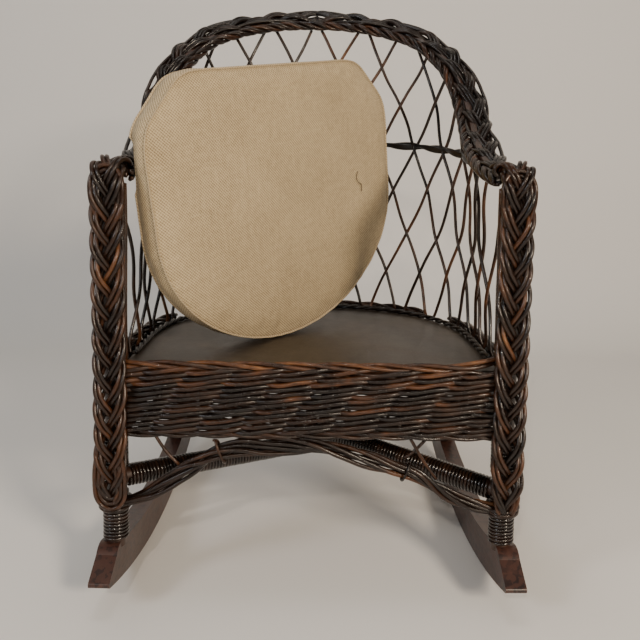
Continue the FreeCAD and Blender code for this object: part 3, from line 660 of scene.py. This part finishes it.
lattice = Reeds()
lim = 0.962 * RIM.L
n_pair = int((0.955 * RIM.L - PITCH / 2) / PITCH) + 1
arcs = []
for k in range(n_pair):
    a = PITCH / 2 + PITCH * k
    if a < 0.955 * RIM.L:
        arcs += [a, -a]
leg_arc = min(np.linspace(0, 1, 801), key=lambda q: math.hypot(*(RIM.at(q)[:2] - REAR_B[:2]))) * RIM.L
for a0 in sorted(arcs):
    for lean in (1, -1):
        sid = int(3000 + a0 * 7 + lean)
        h = np.arange((-9.0 if abs(abs(a0 + lean * 2.6) - leg_arc) < 17 else -64.0), 400.0, 5.0)
        D = drift(h)
        arc = a0 + lean * 2.6 + lean * D + noise1(h, 150.0, sid, 1.6) * np.clip(h / 40, 0, 1)
        off = 2.15 * lean * np.cos(2 * np.pi * D / PITCH)
        low = np.clip((8.0 - h) / 12.0, 0, 1)
        off = off * (1 - low) + (-2.4 if lean > 0 else 2.4) * low
        ok = np.abs(arc) < lim
        cut = np.argmax(~ok) if (~ok).any() else len(h)
        p, H = wall_point(np.clip(arc, -lim, lim), h, off)
        hit = h > H - 5.5
        cut2 = np.argmax(hit) if hit.any() else len(h)
        n = min(cut, cut2)
        if n < 5:
            continue
        r = 2.0 + 0.12 * noise1(h[:n], 200.0, sid + 5)
        tone = np.clip(RNG.uniform(0.30, 0.80) + noise1(h[:n], 170.0, sid + 9, 0.22), 0.02, 0.97)
        lattice.add(p[:n], r, tone=tone, n=8)
ob = lattice.build("lattice_stakes", M_REED)
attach(ob, "chair"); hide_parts("stakes_leaning_left", "stakes_leaning_right")

# dark leaf-like band at arm height
band = Reeds()
A = np.linspace(-0.655, 0.655, 360) * RIM.L
hb = 227.0 - 19.0 * np.clip(np.abs(A) / (0.655 * RIM.L), 0, 1) ** 2.2
for k in range(2):
    ph = 2 * np.pi * A / 98.0 + k * np.pi
    wd = np.abs(np.sin(ph + 0.5 * np.pi * 0.6))
    p, H = wall_point(A, hb + 1.7 * np.sin(ph) + noise1(A, 120.0, 2900 + k, 0.8), -2.0 + 4.6 * np.cos(ph))
    o_ = RIM.out(A / RIM.L)
    band.add(p, 1.9 + 2.2 * wd, tone=0.10 + 0.12 * k, n=8, flat=0.42, up=o_)
ob = band.build("mid_band_twining", M_REED_DARK)
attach(ob, "chair"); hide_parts("mid_band")

# ------------------------------------------------------------------ woven apron


def wale(acc, path, outw, z0, z1, rows, lam, r, seed, tone_top=None):
    P, s = resample(np.hstack([path, outw]), 3.4)
    C, O = P[:, :3], unit(P[:, 3:6])
    p = (z1 - z0) / rows
    for i in range(rows):
        zc = z0 + (i + 0.5) * p
        rowph = (i * 0.29 + 0.17 * math.sin(i * 2.1)) % 1.0
        for j in range(2):
            sid = seed + i * 7 + j
            t = s / lam + j / 2.0 + rowph + noise1(s, 170.0, seed + i * 7, 0.05)
            out = 2.5 * np.tanh(2.2 * np.cos(2 * np.pi * t)) + 0.35 * noise1(s, 60.0, sid + 3)
            dz = 2.3 * np.sin(2 * np.pi * t) + noise1(s, 190.0, seed + i * 7 + 2, 0.8) + 0.4 * noise1(s, 70.0, sid + 5)
            path3 = C + O * out[:, None]
            path3[:, 2] = zc + dz
            tone = RNG.uniform(0.10, 0.62)
            if tone_top is not None and i >= rows - 3:
                tone = RNG.uniform(*tone_top)
            tone = np.clip(tone + noise1(s, 120.0, sid + 9, 0.26), 0.02, 0.97)
            acc.add(path3, r + 0.16 * noise1(s, 160.0, sid + 4), tone=tone, n=8)


apron = Reeds()
x = np.linspace(-190.0, 190.0, 60)
path = np.stack([x, np.full_like(x, -8.0), np.zeros_like(x)], 1)
wale(apron, path, np.tile([0, -1.0, 0], (len(x), 1)), 189.0, 258.5, 12, 92.0, 2.55, 4000, tone_top=(0.42, 0.80))
# twisted top edge, lighter, turning up at its right-hand end
xs = np.linspace(-190.5, 187.0, 200)
for k in range(3):
    ph = 2 * np.pi * xs / 132.0 + 2 * np.pi * k / 3
    zt = 261.6 + 2.9 * np.sin(ph) + 8.0 * np.clip((xs - 135.0) / 50.0, 0, 1) ** 2
    yt = -7.2 + 2.9 * np.cos(ph) + 5.0 * np.clip((xs - 140.0) / 46.0, 0, 1) ** 2
    apron.add(np.stack([xs, yt, zt], 1), 2.35, tone=np.clip((0.95, 0.72, 0.84)[k] + noise1(xs, 130.0, 4400 + k, 0.2), 0.2, 0.97), n=8)
# lower edge
for k in range(2):
    ph = 2 * np.pi * xs / 74.0 + k * np.pi
    apron.add(np.stack([xs, -7.6 + 2.0 * np.cos(ph), 187.2 + 1.8 * np.sin(ph)], 1), 2.2, tone=np.clip(0.45 + noise1(xs, 130.0, 4410 + k, 0.2), 0.05, 0.9), n=7)
ob = apron.build("apron_front_weave", M_REED)
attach(ob, "chair"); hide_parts("apron_front")

apron2 = Reeds()
gap = 16.5 / RIM.L
lsg = leg_arc / RIM.L
for a, b, sd_ in ((lsg + gap, 0.975, 4600), (-0.975, -lsg - gap, 4800), (-lsg + 1.75 * gap, lsg - 1.75 * gap, 5000)):
    sg = np.linspace(a, b, 60)
    cc = RIM.at(sg) + RIM.out(sg) * 13.4
    cc[:, 2] = 0
    wale(apron2, cc, RIM.out(sg), 189.0, 260.0, 12, 92.0, 2.55, sd_)
    for zz, k in ((263.0, 0), (263.0, 1), (187.4, 0), (187.4, 1)):
        q, s = resample(np.hstack([cc, RIM.out(sg)]), 4.0)
        ph = 2 * np.pi * s / 66.0 + k * np.pi
        pp = q[:, :3] + unit(q[:, 3:6]) * (2.0 * np.cos(ph))[:, None]
        pp[:, 2] = zz + 1.9 * np.sin(ph)
        apron2.add(pp, 2.2, tone=np.clip(0.5 + noise1(s, 130.0, sd_ + 90 + k, 0.2), 0.05, 0.9), n=7)
ob = apron2.build("apron_sides_and_rear_weave", M_REED)
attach(ob, "chair"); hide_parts("apron_side_left", "apron_side_right", "apron_rear")

# twisted strand on the back edge of the seat, short front stakes, stays
trim = Reeds()
sg = np.linspace(-0.93, 0.93, 320)
cc, oo = RIM.at(sg), RIM.out(sg)
s = np.concatenate([[0], np.cumsum(np.linalg.norm(np.diff(cc, axis=0), axis=1))])
for k in range(2):
    ph = 2 * np.pi * s / 34.0 + k * np.pi
    pp = cc - oo * (4.4 + 1.7 * np.cos(ph))[:, None]
    pp[:, 2] = SEAT + 3.6 + 1.5 * np.sin(ph)
    trim.add(pp, 1.95, tone=np.clip(0.28 + noise1(s, 200.0, 5400 + k, 0.2), 0.02, 0.8), n=7)
ob = trim.build("seat_edge_strand", M_REED_DARK)
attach(ob, "chair"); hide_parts("seat_edge_twist")

stays = Reeds()
for i in range(9):
    xx = -160.0 + 40.0 * i
    stays.add(np.array([[xx, -2.2, 188.0], [xx + 0.6, -2.6, 200.0], [xx, -2.2, 214.0], [xx - 0.4, -2.2, 228.0]]), 1.9, tone=0.4, n=7)
for pts, tn in ((((-165.0, -4.0, 192.0), (-158.0, -5.0, 180.0), (-149.0, -5.6, 166.0), (-137.0, -6.0, 153.0)), 0.72),
                (((100.0, -4.2, 192.0), (108.0, -5.2, 178.0), (120.0, -5.8, 158.0), (133.0, -6.4, 140.0)), 0.66),
                (((129.0, -0.6, 192.0), (120.0, -1.2, 181.0), (110.0, -1.8, 170.0), (99.0, -2.4, 161.0)), 0.60)):
    q, _ = resample(catmull(pts, 6), 4.0)
    stays.add(q, 1.75, tone=tn, n=7)
ob = stays.build("stays_and_front_stakes", M_REED)
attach(ob, "chair"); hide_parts("skirt_stays", "apron_front_stakes")

# ------------------------------------------------------------------ arched skirt of loosely twisted reeds
skirt = Reeds()
ARCH = np.array([(-197.0, 102.0), (-188.0, 105.0), (-166.0, 111.0), (-146.0, 121.5), (-129.0, 132.5), (-109.0, 144.0), (-92.0, 155.0),
                 (-70.0, 162.0), (-46.0, 162.5), (0.0, 163.0), (24.0, 160.0), (46.0, 155.0), (80.0, 144.5), (105.0, 136.0), (130.0, 121.0),
                 (150.0, 111.0), (170.0, 104.5), (188.0, 101.0), (197.0, 100.0)])
q, s = resample(catmull(ARCH, 6), 3.4)
nz = unit(np.stack([-np.gradient(q[:, 1]), np.gradient(q[:, 0])], 1))
edge = 1 - np.clip((np.abs(q[:, 0]) - 150.0) / 45.0, 0, 1)
mid = np.clip(1 - np.abs(q[:, 0]) / 70.0, 0, 1)
half = np.interp(q[:, 0], [-197, -150, -105, -60, 0, 40, 80, 120, 160, 197], [6.5, 9.5, 12.5, 12.5, 12.0, 11.0, 9.5, 9.0, 8.5, 6.5])
for k in range(7):
    grp, idx = divmod(k, 4)
    ph = 2 * np.pi * s / 232.0 + math.pi * grp + noise1(s, 260.0, 6000 + grp, 0.35)
    ph2 = 2 * np.pi * s / 190.0 + 2 * np.pi * idx / (4 - grp) + noise1(s, 200.0, 6050 + k, 0.3)
    a_ = half + (half - 2.2) * (0.52 * np.sin(ph) + 0.48 * np.sin(ph2)) + noise1(s, 120.0, 6080 + k, 0.8)
    yb = -6.6 + 2.4 * np.cos(ph) + 2.5 * np.cos(ph2)
    pp = np.stack([q[:, 0] + nz[:, 0] * a_, yb, q[:, 1] + nz[:, 1] * a_], 1)
    pp[:, 2] = np.minimum(pp[:, 2], 188.0 + 0.6 * k)
    if k == 4:
        tone = 0.30 + 0.68 * np.clip((q[:, 0] - 70.0) / 18.0, 0, 1)
    else:
        tone = np.clip(RNG.uniform(0.22, 0.66) + noise1(s, 150.0, 6100 + k, 0.24), 0.03, 0.9)
    skirt.add(pp, 2.4 + 0.14 * noise1(s, 160.0, 6200 + k), tone=tone, n=8)
# short bindings round the skirt
for bx, tn in ((-88.0, 0.7), (96.0, 0.35)):
    i = int(np.argmin(np.abs(q[:, 0] - bx)))
    a = np.linspace(0, 2 * np.pi * 1.15, 26)
    cx, cz = q[i, 0] + nz[i, 0] * half[i], q[i, 1] + nz[i, 1] * half[i]
    rad = half[i] + 0.8
    pp = np.stack([cx + nz[i, 0] * rad * np.cos(a) + 2.5 * (a / a[-1] - 0.5), -6.4 + 6.4 * np.sin(a), cz + nz[i, 1] * rad * np.cos(a)], 1)
    pp[:, 2] = np.minimum(pp[:, 2], 190.0)
    skirt.add(pp, 1.5, tone=tn, n=6)
ob = skirt.build("skirt_arch_reeds", M_REED)
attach(ob, "chair"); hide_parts("skirt_arch")

# ------------------------------------------------------------------ wrappings
for sd, nm in ((1, "right"), (-1, "left")):
    w = Reeds()
    helix(leg_axis(sd, rocker_top(0) + 5.0), leg_axis(sd, 104.0), 11.9, 2.0, 3.95, w, seg=22)
    helix(leg_axis(sd, 104.0), leg_axis(sd, 121.0), 11.9, 2.0, 3.95, w, seg=18)
    helix(leg_axis(sd, 148.0), leg_axis(sd, 186.0), 11.9, 2.0, 3.95, w, seg=18)
    for i in range(9):
        a = math.radians(-18 + 27 * i) if sd < 0 else math.radians(198 - 27 * i)
        zz_ = np.linspace(264.0, 441.0, 40)
        ax = leg_axis(sd, zz_)
        aa = a + 0.10 * np.sin(zz_ / 50.0 + i) + 0.06 * np.sin(zz_ / 21.0 + 2 * i)
        rr_ = 12.0 + 0.5 * np.sin(zz_ / 33.0 + 1.7 * i)
        pth = ax + np.stack([rr_ * np.cos(aa), rr_ * np.sin(aa), np.zeros_like(aa)], 1)
        w.add(pth, 2.1, tone=np.clip(0.80 - 0.05 * i + noise1(zz_, 150.0, 7000 + i + 20 * (sd > 0), 0.15), 0.1, 0.97), n=7)
    ob = w.build("front_leg_wrapping_" + nm, M_WRAP)
    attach(ob, "chair"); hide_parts("front_leg_wrap_" + nm)
    w = Reeds()
    for t0, t1 in ((0.06, 0.14), (0.35, 0.95)) if sd > 0 else ((0.06, 0.46), (0.66, 0.95)):
        helix(rear_axis(sd, t0), rear_axis(sd, t1), 11.9, 2.0, 3.95, w, seg=14)
    ob = w.build("rear_leg_wrapping_" + nm, M_WRAP)
    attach(ob, "chair"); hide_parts("rear_leg_wrap_" + nm)
for key, sd, z0, z1 in (("left_front", -1, 135.0, 96.0), ("right_front", 1, 123.0, 153.0)):
    p = leg_axis(sd, z0)
    tr = (z1 - 50.0) / (231.0 - 50.0)
    q_ = rear_axis(-sd, tr)
    q_[2] = z1
    d = unit(q_ - p)
    w = Reeds()
    helix(p + d * 13.0, q_ - d * 15.0, 10.3, 1.9, 3.9, w, seg=16)
    ob = w.build("stretcher_wrapping_" + key, M_WRAP)
    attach(ob, "chair"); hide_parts("stretcher_wrap_" + key)

# ------------------------------------------------------------------ box cushion
CW_, CH_, CT_, CRC, CSIDE, CEXP = 382.0, 310.5, 26.0, 90.0, 160.0, 1.85
yaw, lean, roll_a = (math.radians(v) for v in (48.0, -0.2, 7.7))
U0 = np.array([math.cos(yaw), math.sin(yaw), 0]); N0 = np.array([math.sin(yaw), -math.cos(yaw), 0]); W0 = np.array([0, 0, 1.0])
W1 = W0 * math.cos(lean) - N0 * math.sin(lean); N1 = N0 * math.cos(lean) + W0 * math.sin(lean)
CU = U0 * math.cos(roll_a) + W1 * math.sin(roll_a); CWv = -U0 * math.sin(roll_a) + W1 * math.cos(roll_a); CN = N1


def cushion_outline(W, H, rc, s0, e, n=36):
    a, top, b = W / 2, H / 2, H - s0
    pts = []
    for i in range(9):
        t = math.pi / 2 * i / 8
        pts.append((a - rc + rc * math.sin(t), top - rc + rc * math.cos(t)))
    for i in range(n + 1):
        t = math.pi * i / n
        c, s = math.cos(t), math.sin(t)
        pts.append((a * (1 if c >= 0 else -1) * abs(c) ** (2 / e), top - s0 - b * abs(s) ** (2 / e)))
    for i in range(8, -1, -1):
        t = math.pi / 2 * i / 8
        pts.append((-(a - rc + rc * math.sin(t)), top - rc + rc * math.cos(t)))
    return np.array(pts)


o0 = cushion_outline(CW_, CH_, CRC, CSIDE, CEXP)
o_cad = o0
zmin = min((CU * p[0] + CWv * p[1] + CN * s_)[2] for p in o0 for s_ in (-CT_ / 2, CT_ / 2))
CC = np.array([-36.4, 140.6, SEAT + 0.5 - zmin])


def cush_world(u, w, n):
    return CC + CU * u[..., None] + CWv * w[..., None] + CN * n[..., None]


NO, NR, NB = 184, 18, 4
COR = np.array([(-85.0, 0.0), (-72.0, -0.8), (-60.0, -3.2), (-50.0, -7.6), (-42.0, -14.0), (-28.0, -28.0), (-14.0, -42.0), (-7.6, -50.0),
                (-3.2, -60.0), (-0.8, -72.0), (0.0, -86.0)])
cor = COR + np.array([CW_ / 2, CH_ / 2])
low = cushion_outline(CW_, CH_, CRC, CSIDE, 2.0)[9:-9]
o0 = np.vstack([cor, low, cor[::-1] * np.array([-1, 1])])
closed = np.vstack([o0, o0[:1]])
ring2, arc = resample(closed, 1.0)
ringL = arc[-1]
qs = np.linspace(0, ringL, NO, endpoint=False)
ring2 = np.stack([np.interp(qs, arc, ring2[:, k]) for k in range(2)], -1)
ring2 = ring2 * 0.988
cen = np.array([0.0, -4.0])
verts, uvs = [], []
hT = CT_ / 2 - 1.2
rho = np.linspace(0, 1, NR + 1)[1:] ** 0.92


def panel(sgn):
    out = []
    for r_ in rho:
        p = cen + (ring2 - cen) * r_
        out.append(np.hstack([p, np.full((NO, 1), sgn * hT)]))
    return out


front, back = panel(1), panel(-1)
vs = [np.array([[cen[0], cen[1], hT]])] + front
idx_front = 1
for b_ in range(1, NB):
    n_ = hT - 2 * hT * b_ / NB
    vs.append(np.hstack([ring2, np.full((NO, 1), n_)]))
back_start = 1 + NR * NO + (NB - 1) * NO
for r_ in back[::-1]:
    vs.append(r_)
vs.append(np.array([[cen[0], cen[1], -hT]]))
V3 = np.vstack(vs)
NV = len(V3)
faces, fuv = [], []
rows = NR + (NB - 1) + NR


def rid(row, i):
    return 1 + row * NO + (i % NO)


for i in range(NO):
    faces.append((0, rid(0, i + 1), rid(0, i)))
    fuv.append("f")
for row in range(rows - 1):
    kind = "f" if row < NR - 1 else ("s" if row < NR - 1 + NB else "b")
    for i in range(NO):
        faces.append((rid(row, i), rid(row, i + 1), rid(row + 1, i + 1), rid(row + 1, i)))
        fuv.append(kind)
for i in range(NO):
    faces.append((NV - 1, rid(rows - 1, i), rid(rows - 1, i + 1)))
    fuv.append("b")
me = bpy.data.meshes.new("box_cushion")
W3 = world(cush_world(V3[:, 0], V3[:, 1], V3[:, 2]))
me.from_pydata([tuple(p) for p in W3], [], faces)
me.update()
uvl = me.uv_layers.new(name="cloth")
data = np.zeros((len(me.loops), 2))
for poly, kind in zip(me.polygons, fuv):
    ids = [me.loops[l].vertex_index for l in poly.loop_indices]
    if kind in "fb":
        for l, vi in zip(poly.loop_indices, ids):
            data[l] = (V3[vi, 0] / 1000.0, V3[vi, 1] / 1000.0 + (0.7 if kind == "b" else 0.0))
    else:
        cols = [(vi - 1) % NO for vi in ids]
        wrap = max(cols) - min(cols) > NO / 2
        for l, vi, c_ in zip(poly.loop_indices, ids, cols):
            c2 = c_ + NO if (wrap and c_ < NO / 2) else c_
            data[l] = (c2 * ringL / NO / 1000.0, V3[vi, 2] / 1000.0 + 1.6)
uvl.data.foreach_set("uv", data.astype(np.float32).ravel())
bm_flip = me.polygons[NO + 5].normal.dot(Vector(CN))
if bm_flip < 0:
    me.flip_normals()
cushion = bpy.data.objects.new("box_cushion", me)
bpy.context.scene.collection.objects.link(cushion)
start_co = W3.copy()
sc = bpy.context.scene
md = cushion.modifiers.new("cloth", "CLOTH")
st = md.settings
st.quality = 6
st.mass = 0.25
st.tension_stiffness = 25
st.compression_stiffness = 25
st.shear_stiffness = 12
st.bending_stiffness = 6.0
st.tension_damping = 12
st.compression_damping = 12
st.shear_damping = 12
st.bending_damping = 1.0
st.use_pressure = True
st.uniform_pressure_force = 5.0
st.effector_weights.gravity = 0.0
st.air_damping = 4.0
md.collision_settings.use_self_collision = False
md.collision_settings.use_collision = False
md.point_cache.frame_start = 1
md.point_cache.frame_end = 18
for fr in range(1, 19):
    sc.frame_set(fr)
dg = bpy.context.evaluated_depsgraph_get()
ev = cushion.evaluated_get(dg)
co = np.zeros(len(ev.data.vertices) * 3, np.float32)
ev.data.vertices.foreach_get("co", co)
co = co.reshape(-1, 3).astype(float)
cushion.modifiers.remove(md)
sc.frame_set(1)
# stay near the cut size: a filled cushion crowns, but its cloth does not stretch far
mv = (co - start_co) * 1000.0
ln = np.linalg.norm(mv, axis=1, keepdims=True)
print("cushion sim move mm: mean %.2f max %.2f" % (float(ln.mean()), float(ln.max())))
mvl = np.stack([mv @ CU, mv @ CWv, mv @ CN], 1)
flat_l = np.linalg.norm(mvl[:, :2], axis=1, keepdims=True)
mvl[:, :2] *= np.minimum(1.0, 2.2 / np.maximum(flat_l, 1e-6))
mvl[:, 2] = np.clip(mvl[:, 2], -5.5, 5.5)
loc = V3 + mvl
# a low crown on each panel and a soft outward belly on the boxing
rr = np.linalg.norm((loc[:, :2] - cen) / np.array([191.0, 155.0]), axis=1)
crown = np.clip(1 - rr ** 3.2, 0, 1)
isf = np.arange(NV) < 1 + NR * NO
isb = np.arange(NV) >= back_start
loc[:, 2] += np.where(isf, 3.0 * crown, 0) - np.where(isb, 3.0 * crown, 0)
sidev = ~(isf | isb)
bulge = np.cos(np.clip(loc[:, 2] / hT, -1, 1) * math.pi / 2)
dirn = unit(np.hstack([loc[:, :2] - cen, np.zeros((NV, 1))]))
loc += dirn * (2.6 * bulge * sidev)[:, None]
# soft folds running down from the middle right, and faint pulls near the seams
u_, w_ = loc[:, 0], loc[:, 1]
win = np.exp(-((u_ - 122.0) / 56.0) ** 2) * np.exp(-((w_ + 52.0) / 70.0) ** 2)
fold = np.sin((u_ - 0.22 * w_) / 8.6 + 0.9 * np.sin(w_ / 38.0)) * (0.6 + 0.4 * np.sin(u_ / 23.0 + w_ / 50.0))
ang = np.arctan2(loc[:, 1], loc[:, 0])
seamw = np.exp(-((rr - 0.93) / 0.07) ** 2)
pull = np.sin(ang * 41.0 + 2.0 * np.sin(ang * 7.0)) * seamw * 0.35
broad = 0.9 * np.sin(u_ / 47.0 + 1.0) * np.sin(w_ / 55.0 + 0.4) * crown
loc[:, 2] += np.where(isf, 1.9 * win * fold + pull + broad, 0) + np.where(isb, -pull - broad, 0)
P3 = cush_world(loc[:, 0], loc[:, 1], loc[:, 2])
# rests on the seat; pressed in by the left arm and lying against the open wall below it
zz = P3[:, 2]
near = (P3[:, 1] > -16.0) & (P3[:, 1] < 48.0)
t_arm = np.clip((np.abs(zz - 457.0) - 22.0) / 16.0, 0, 1)
xl = np.where(near, -170.0 - 60.0 * t_arm ** 1.5, -400.0)
P3[:, 0] = np.where(P3[:, 0] < xl, xl + 0.08 * (P3[:, 0] - xl), P3[:, 0])
P3[:, 2] = np.maximum(P3[:, 2], SEAT + 0.5)
W4 = world(P3)
me.vertices.foreach_set("co", W4.astype(np.float32).ravel())
me.polygons.foreach_set("use_smooth", np.ones(len(me.polygons), bool))
me.update()
# keep the two seams crisp
cre = me.attributes.new("crease_edge", "FLOAT", "EDGE")
seam_rows = {NR - 1, NR - 1 + NB}
ev_ = np.zeros(len(me.edges) * 2, np.int32)
me.edges.foreach_get("vertices", ev_)
ev_ = ev_.reshape(-1, 2)
r0 = (ev_[:, 0] - 1) // NO
r1 = (ev_[:, 1] - 1) // NO
on = (r0 == r1) & np.isin(r0, list(seam_rows))
cre.data.foreach_set("value", (on * 0.75).astype(np.float32))
sub = cushion.modifiers.new("sub", "SUBSURF")
sub.levels = 1
sub.render_levels = 1
me.materials.append(M_CLOTH)
bpy.context.view_layer.objects.active = cushion
with bpy.context.temp_override(object=cushion, active_object=cushion, selected_objects=[cushion]):
    bpy.ops.object.modifier_apply(modifier="sub")
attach(cushion, "cushion")
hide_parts("cushion_foam", "cushion_boxing", "cushion_front_panel", "cushion_back_panel")

# turned-out seam allowances: a narrow folded ridge along both panel edges
M_SEAM = cloth_material("cushion_seam_cloth", (0.62, 0.505, 0.335), (0.46, 0.36, 0.22), (0.25, 0.185, 0.11), 1.7)


def uv_tube(P, r, n, name, mat, out_dir, flat):
    T = tangents(np.vstack([P[-1:], P, P[:1]]))[1:-1]
    O = unit(out_dir - T * (out_dir * T).sum(1, keepdims=True))
    Bn = np.cross(T, O)
    a = 2 * np.pi * np.arange(n) / n
    rg = P[:, None] + r * (O[:, None] * np.cos(a)[None, :, None] + flat * Bn[:, None] * np.sin(a)[None, :, None])
    N_ = len(P)
    s_ = np.concatenate([[0], np.cumsum(np.linalg.norm(np.diff(np.vstack([P, P[:1]]), axis=0), axis=1))])
    vv = world(rg.reshape(-1, 3))
    ff, uvd = [], []
    for i in range(N_):
        i2 = (i + 1) % N_
        for j in range(n):
            j2 = (j + 1) % n
            ff.append((i * n + j, i * n + j2, i2 * n + j2, i2 * n + j))
            sj, sj2 = j * r * 0.8, (j + 1) * r * 0.8
            uvd += [(s_[i], sj), (s_[i], sj2), (s_[i + 1], sj2), (s_[i + 1], sj)]
    m_ = bpy.data.meshes.new(name)
    m_.from_pydata([tuple(p) for p in vv], [], ff)
    m_.update()
    ul = m_.uv_layers.new(name="cloth")
    ul.data.foreach_set("uv", (np.array(uvd) / 1000.0).astype(np.float32).ravel())
    m_.polygons.foreach_set("use_smooth", np.ones(len(m_.polygons), bool))
    o_ = bpy.data.objects.new(name, m_)
    bpy.context.scene.collection.objects.link(o_)
    m_.materials.append(mat)
    return o_


def row_points(row):
    return P3[1 + row * NO:1 + (row + 1) * NO]


for nm, row, sgn in (("cushion_seam_front", NR - 1, 1), ("cushion_seam_back", NR - 1 + NB, -1)):
    rp = row_points(row)
    cw = cush_world(np.array([cen[0]]), np.array([cen[1]]), np.array([sgn * hT]))[0]
    outd = unit(rp - cw)
    rp2 = rp + outd * 0.5 + CN * (sgn * 0.3)
    rp2[:, 2] = np.maximum(rp2[:, 2], SEAT + 1.9)
    ob = uv_tube(rp2, 1.3, 8, nm, M_SEAM, unit(outd + CN * sgn * 0.8), 0.62)
    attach(ob, "cushion")

# loose dark thread end on the front panel
M_THREAD, nt_, bs_ = new_mat("thread")
tcn = node(nt_, "ShaderNodeTexCoord").outputs["Object"]
nt_.links.new(ramp(nt_, noise(nt_, tcn, 900.0, 2.0), [(0.3, (0.018, 0.013, 0.010)), (0.7, (0.05, 0.036, 0.026))]), bs_.inputs["Base Color"])
bs_.inputs["Roughness"].default_value = 0.9

# ------------------------------------------------------------------ stage, camera, light
bpy.context.view_layer.update()


def hit_on_cushion(u, w):
    d = np.linalg.norm((loc[:1 + NR * NO, :2] - np.array([u, w])), axis=1)
    i = np.argsort(d)[:4]
    wt = 1 / (d[i] + 0.5)
    return (P3[i] * wt[:, None]).sum(0) / wt.sum()


th_pts = []
for (u, w, n_) in ((114.0, 22.0, 2.6), (110.0, 15.0, 3.4), (114.0, 9.0, 3.0), (119.0, 3.0, 2.4), (118.0, -5.0, 2.2)):
    th_pts.append(hit_on_cushion(u, w) + CN * n_)
thr = Reeds()
q_, _ = resample(catmull(np.array(th_pts), 6), 1.2)
thr.add(q_, 0.42, tone=0.1, n=6)
ob = thr.build("loose_thread_end", M_THREAD)
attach(ob, "cushion")


def backdrop():
    pts = [(-3.0, 0.0)]
    prof = [(-3.2, 0.0), (0.75, 0.0)]
    R = 0.25
    for a in np.linspace(0, math.pi / 2, 14)[1:]:
        prof.append((0.75 + R * math.sin(a), R - R * math.cos(a)))
    prof.append((1.0, 3.4))
    v, f = [], []
    for (y, z) in prof:
        v += [(-4.0, y, z), (4.0, y, z)]
    for i in range(len(prof) - 1):
        f.append((2 * i, 2 * i + 1, 2 * i + 3, 2 * i + 2))
    m_ = bpy.data.meshes.new("stage")
    m_.from_pydata(v, [], f)
    m_.polygons.foreach_set("use_smooth", np.ones(len(m_.polygons), bool))
    o_ = bpy.data.objects.new("stage", m_)
    bpy.context.scene.collection.objects.link(o_)
    mt, nt, bs = new_mat("stage_pale")
    bs.inputs["Base Color"].default_value = (0.80, 0.785, 0.76, 1)
    bs.inputs["Roughness"].default_value = 0.85
    m_.materials.append(mt)
    return o_


backdrop()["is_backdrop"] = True

cam_d = bpy.data.cameras.new("camera")
cam = bpy.data.objects.new("camera", cam_d)
bpy.context.scene.collection.objects.link(cam)
bpy.context.scene.camera = cam
cam_d.sensor_width = 36.0
cam_d.sensor_fit = "HORIZONTAL"
cam_d.lens = 40.5
cam_d.clip_start = 0.02
cam_d.dof.use_dof = False
psi, pit, rol = math.radians(-0.356), math.radians(13.28), math.radians(0.889)
Rt = np.array([math.cos(psi), math.sin(psi), 0])
Fh = np.array([-math.sin(psi), math.cos(psi), 0])
Fw = Fh * math.cos(pit) - np.array([0, 0, 1.0]) * math.sin(pit)
Up = Fh * math.sin(pit) + np.array([0, 0, 1.0]) * math.cos(pit)
R2 = Rt * math.cos(rol) + Up * math.sin(rol)
U2 = Up * math.cos(rol) - Rt * math.sin(rol)
mw = Matrix(((R2[0], U2[0], -Fw[0], 4.12 / 1000), (R2[1], U2[1], -Fw[1], (-705.0 + SY) / 1000), (R2[2], U2[2], -Fw[2], 0.475), (0, 0, 0, 1)))
cam.matrix_world = mw


def area(name, loc_, target, size, energy, color, sy=None):
    ld = bpy.data.lights.new(name, "AREA")
    ld.shape = "RECTANGLE"
    ld.size = size
    ld.size_y = sy or size
    ld.energy = energy
    ld.color = color
    lo = bpy.data.objects.new(name, ld)
    bpy.context.scene.collection.objects.link(lo)
    lo.location = loc_
    d = Vector(target) - Vector(loc_)
    lo.rotation_euler = d.to_track_quat("-Z", "Y").to_euler()
    return lo


area("key", (1.05, -1.75, 1.05), (0, 0, 0.33), 0.34, 36.0, (1.0, 0.84, 0.66))
area("fill", (-1.5, -1.3, 1.2), (0, 0, 0.3), 0.45, 11.0, (0.92, 0.95, 1.0))
area("top", (-0.1, -0.1, 2.1), (0, 0, 0.3), 0.5, 5.0, (1.0, 0.96, 0.90))
area("spark", (-0.35, -1.9, 1.35), (0, 0, 0.3), 0.07, 9.0, (1.0, 0.88, 0.74))
wld = bpy.data.worlds.new("world")
bpy.context.scene.world = wld
wld.use_nodes = True
wld.node_tree.nodes["Background"].inputs[0].default_value = (0.95, 0.94, 0.92, 1)
wld.node_tree.nodes["Background"].inputs[1].default_value = 0.19

bpy.context.view_layer.update()


def plain(b):
    return [[float(x) for x in v] if hasattr(v, "__len__") else float(v) for v in b]


{"cad": plain(CAD_BOX), "visual": plain(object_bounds())}
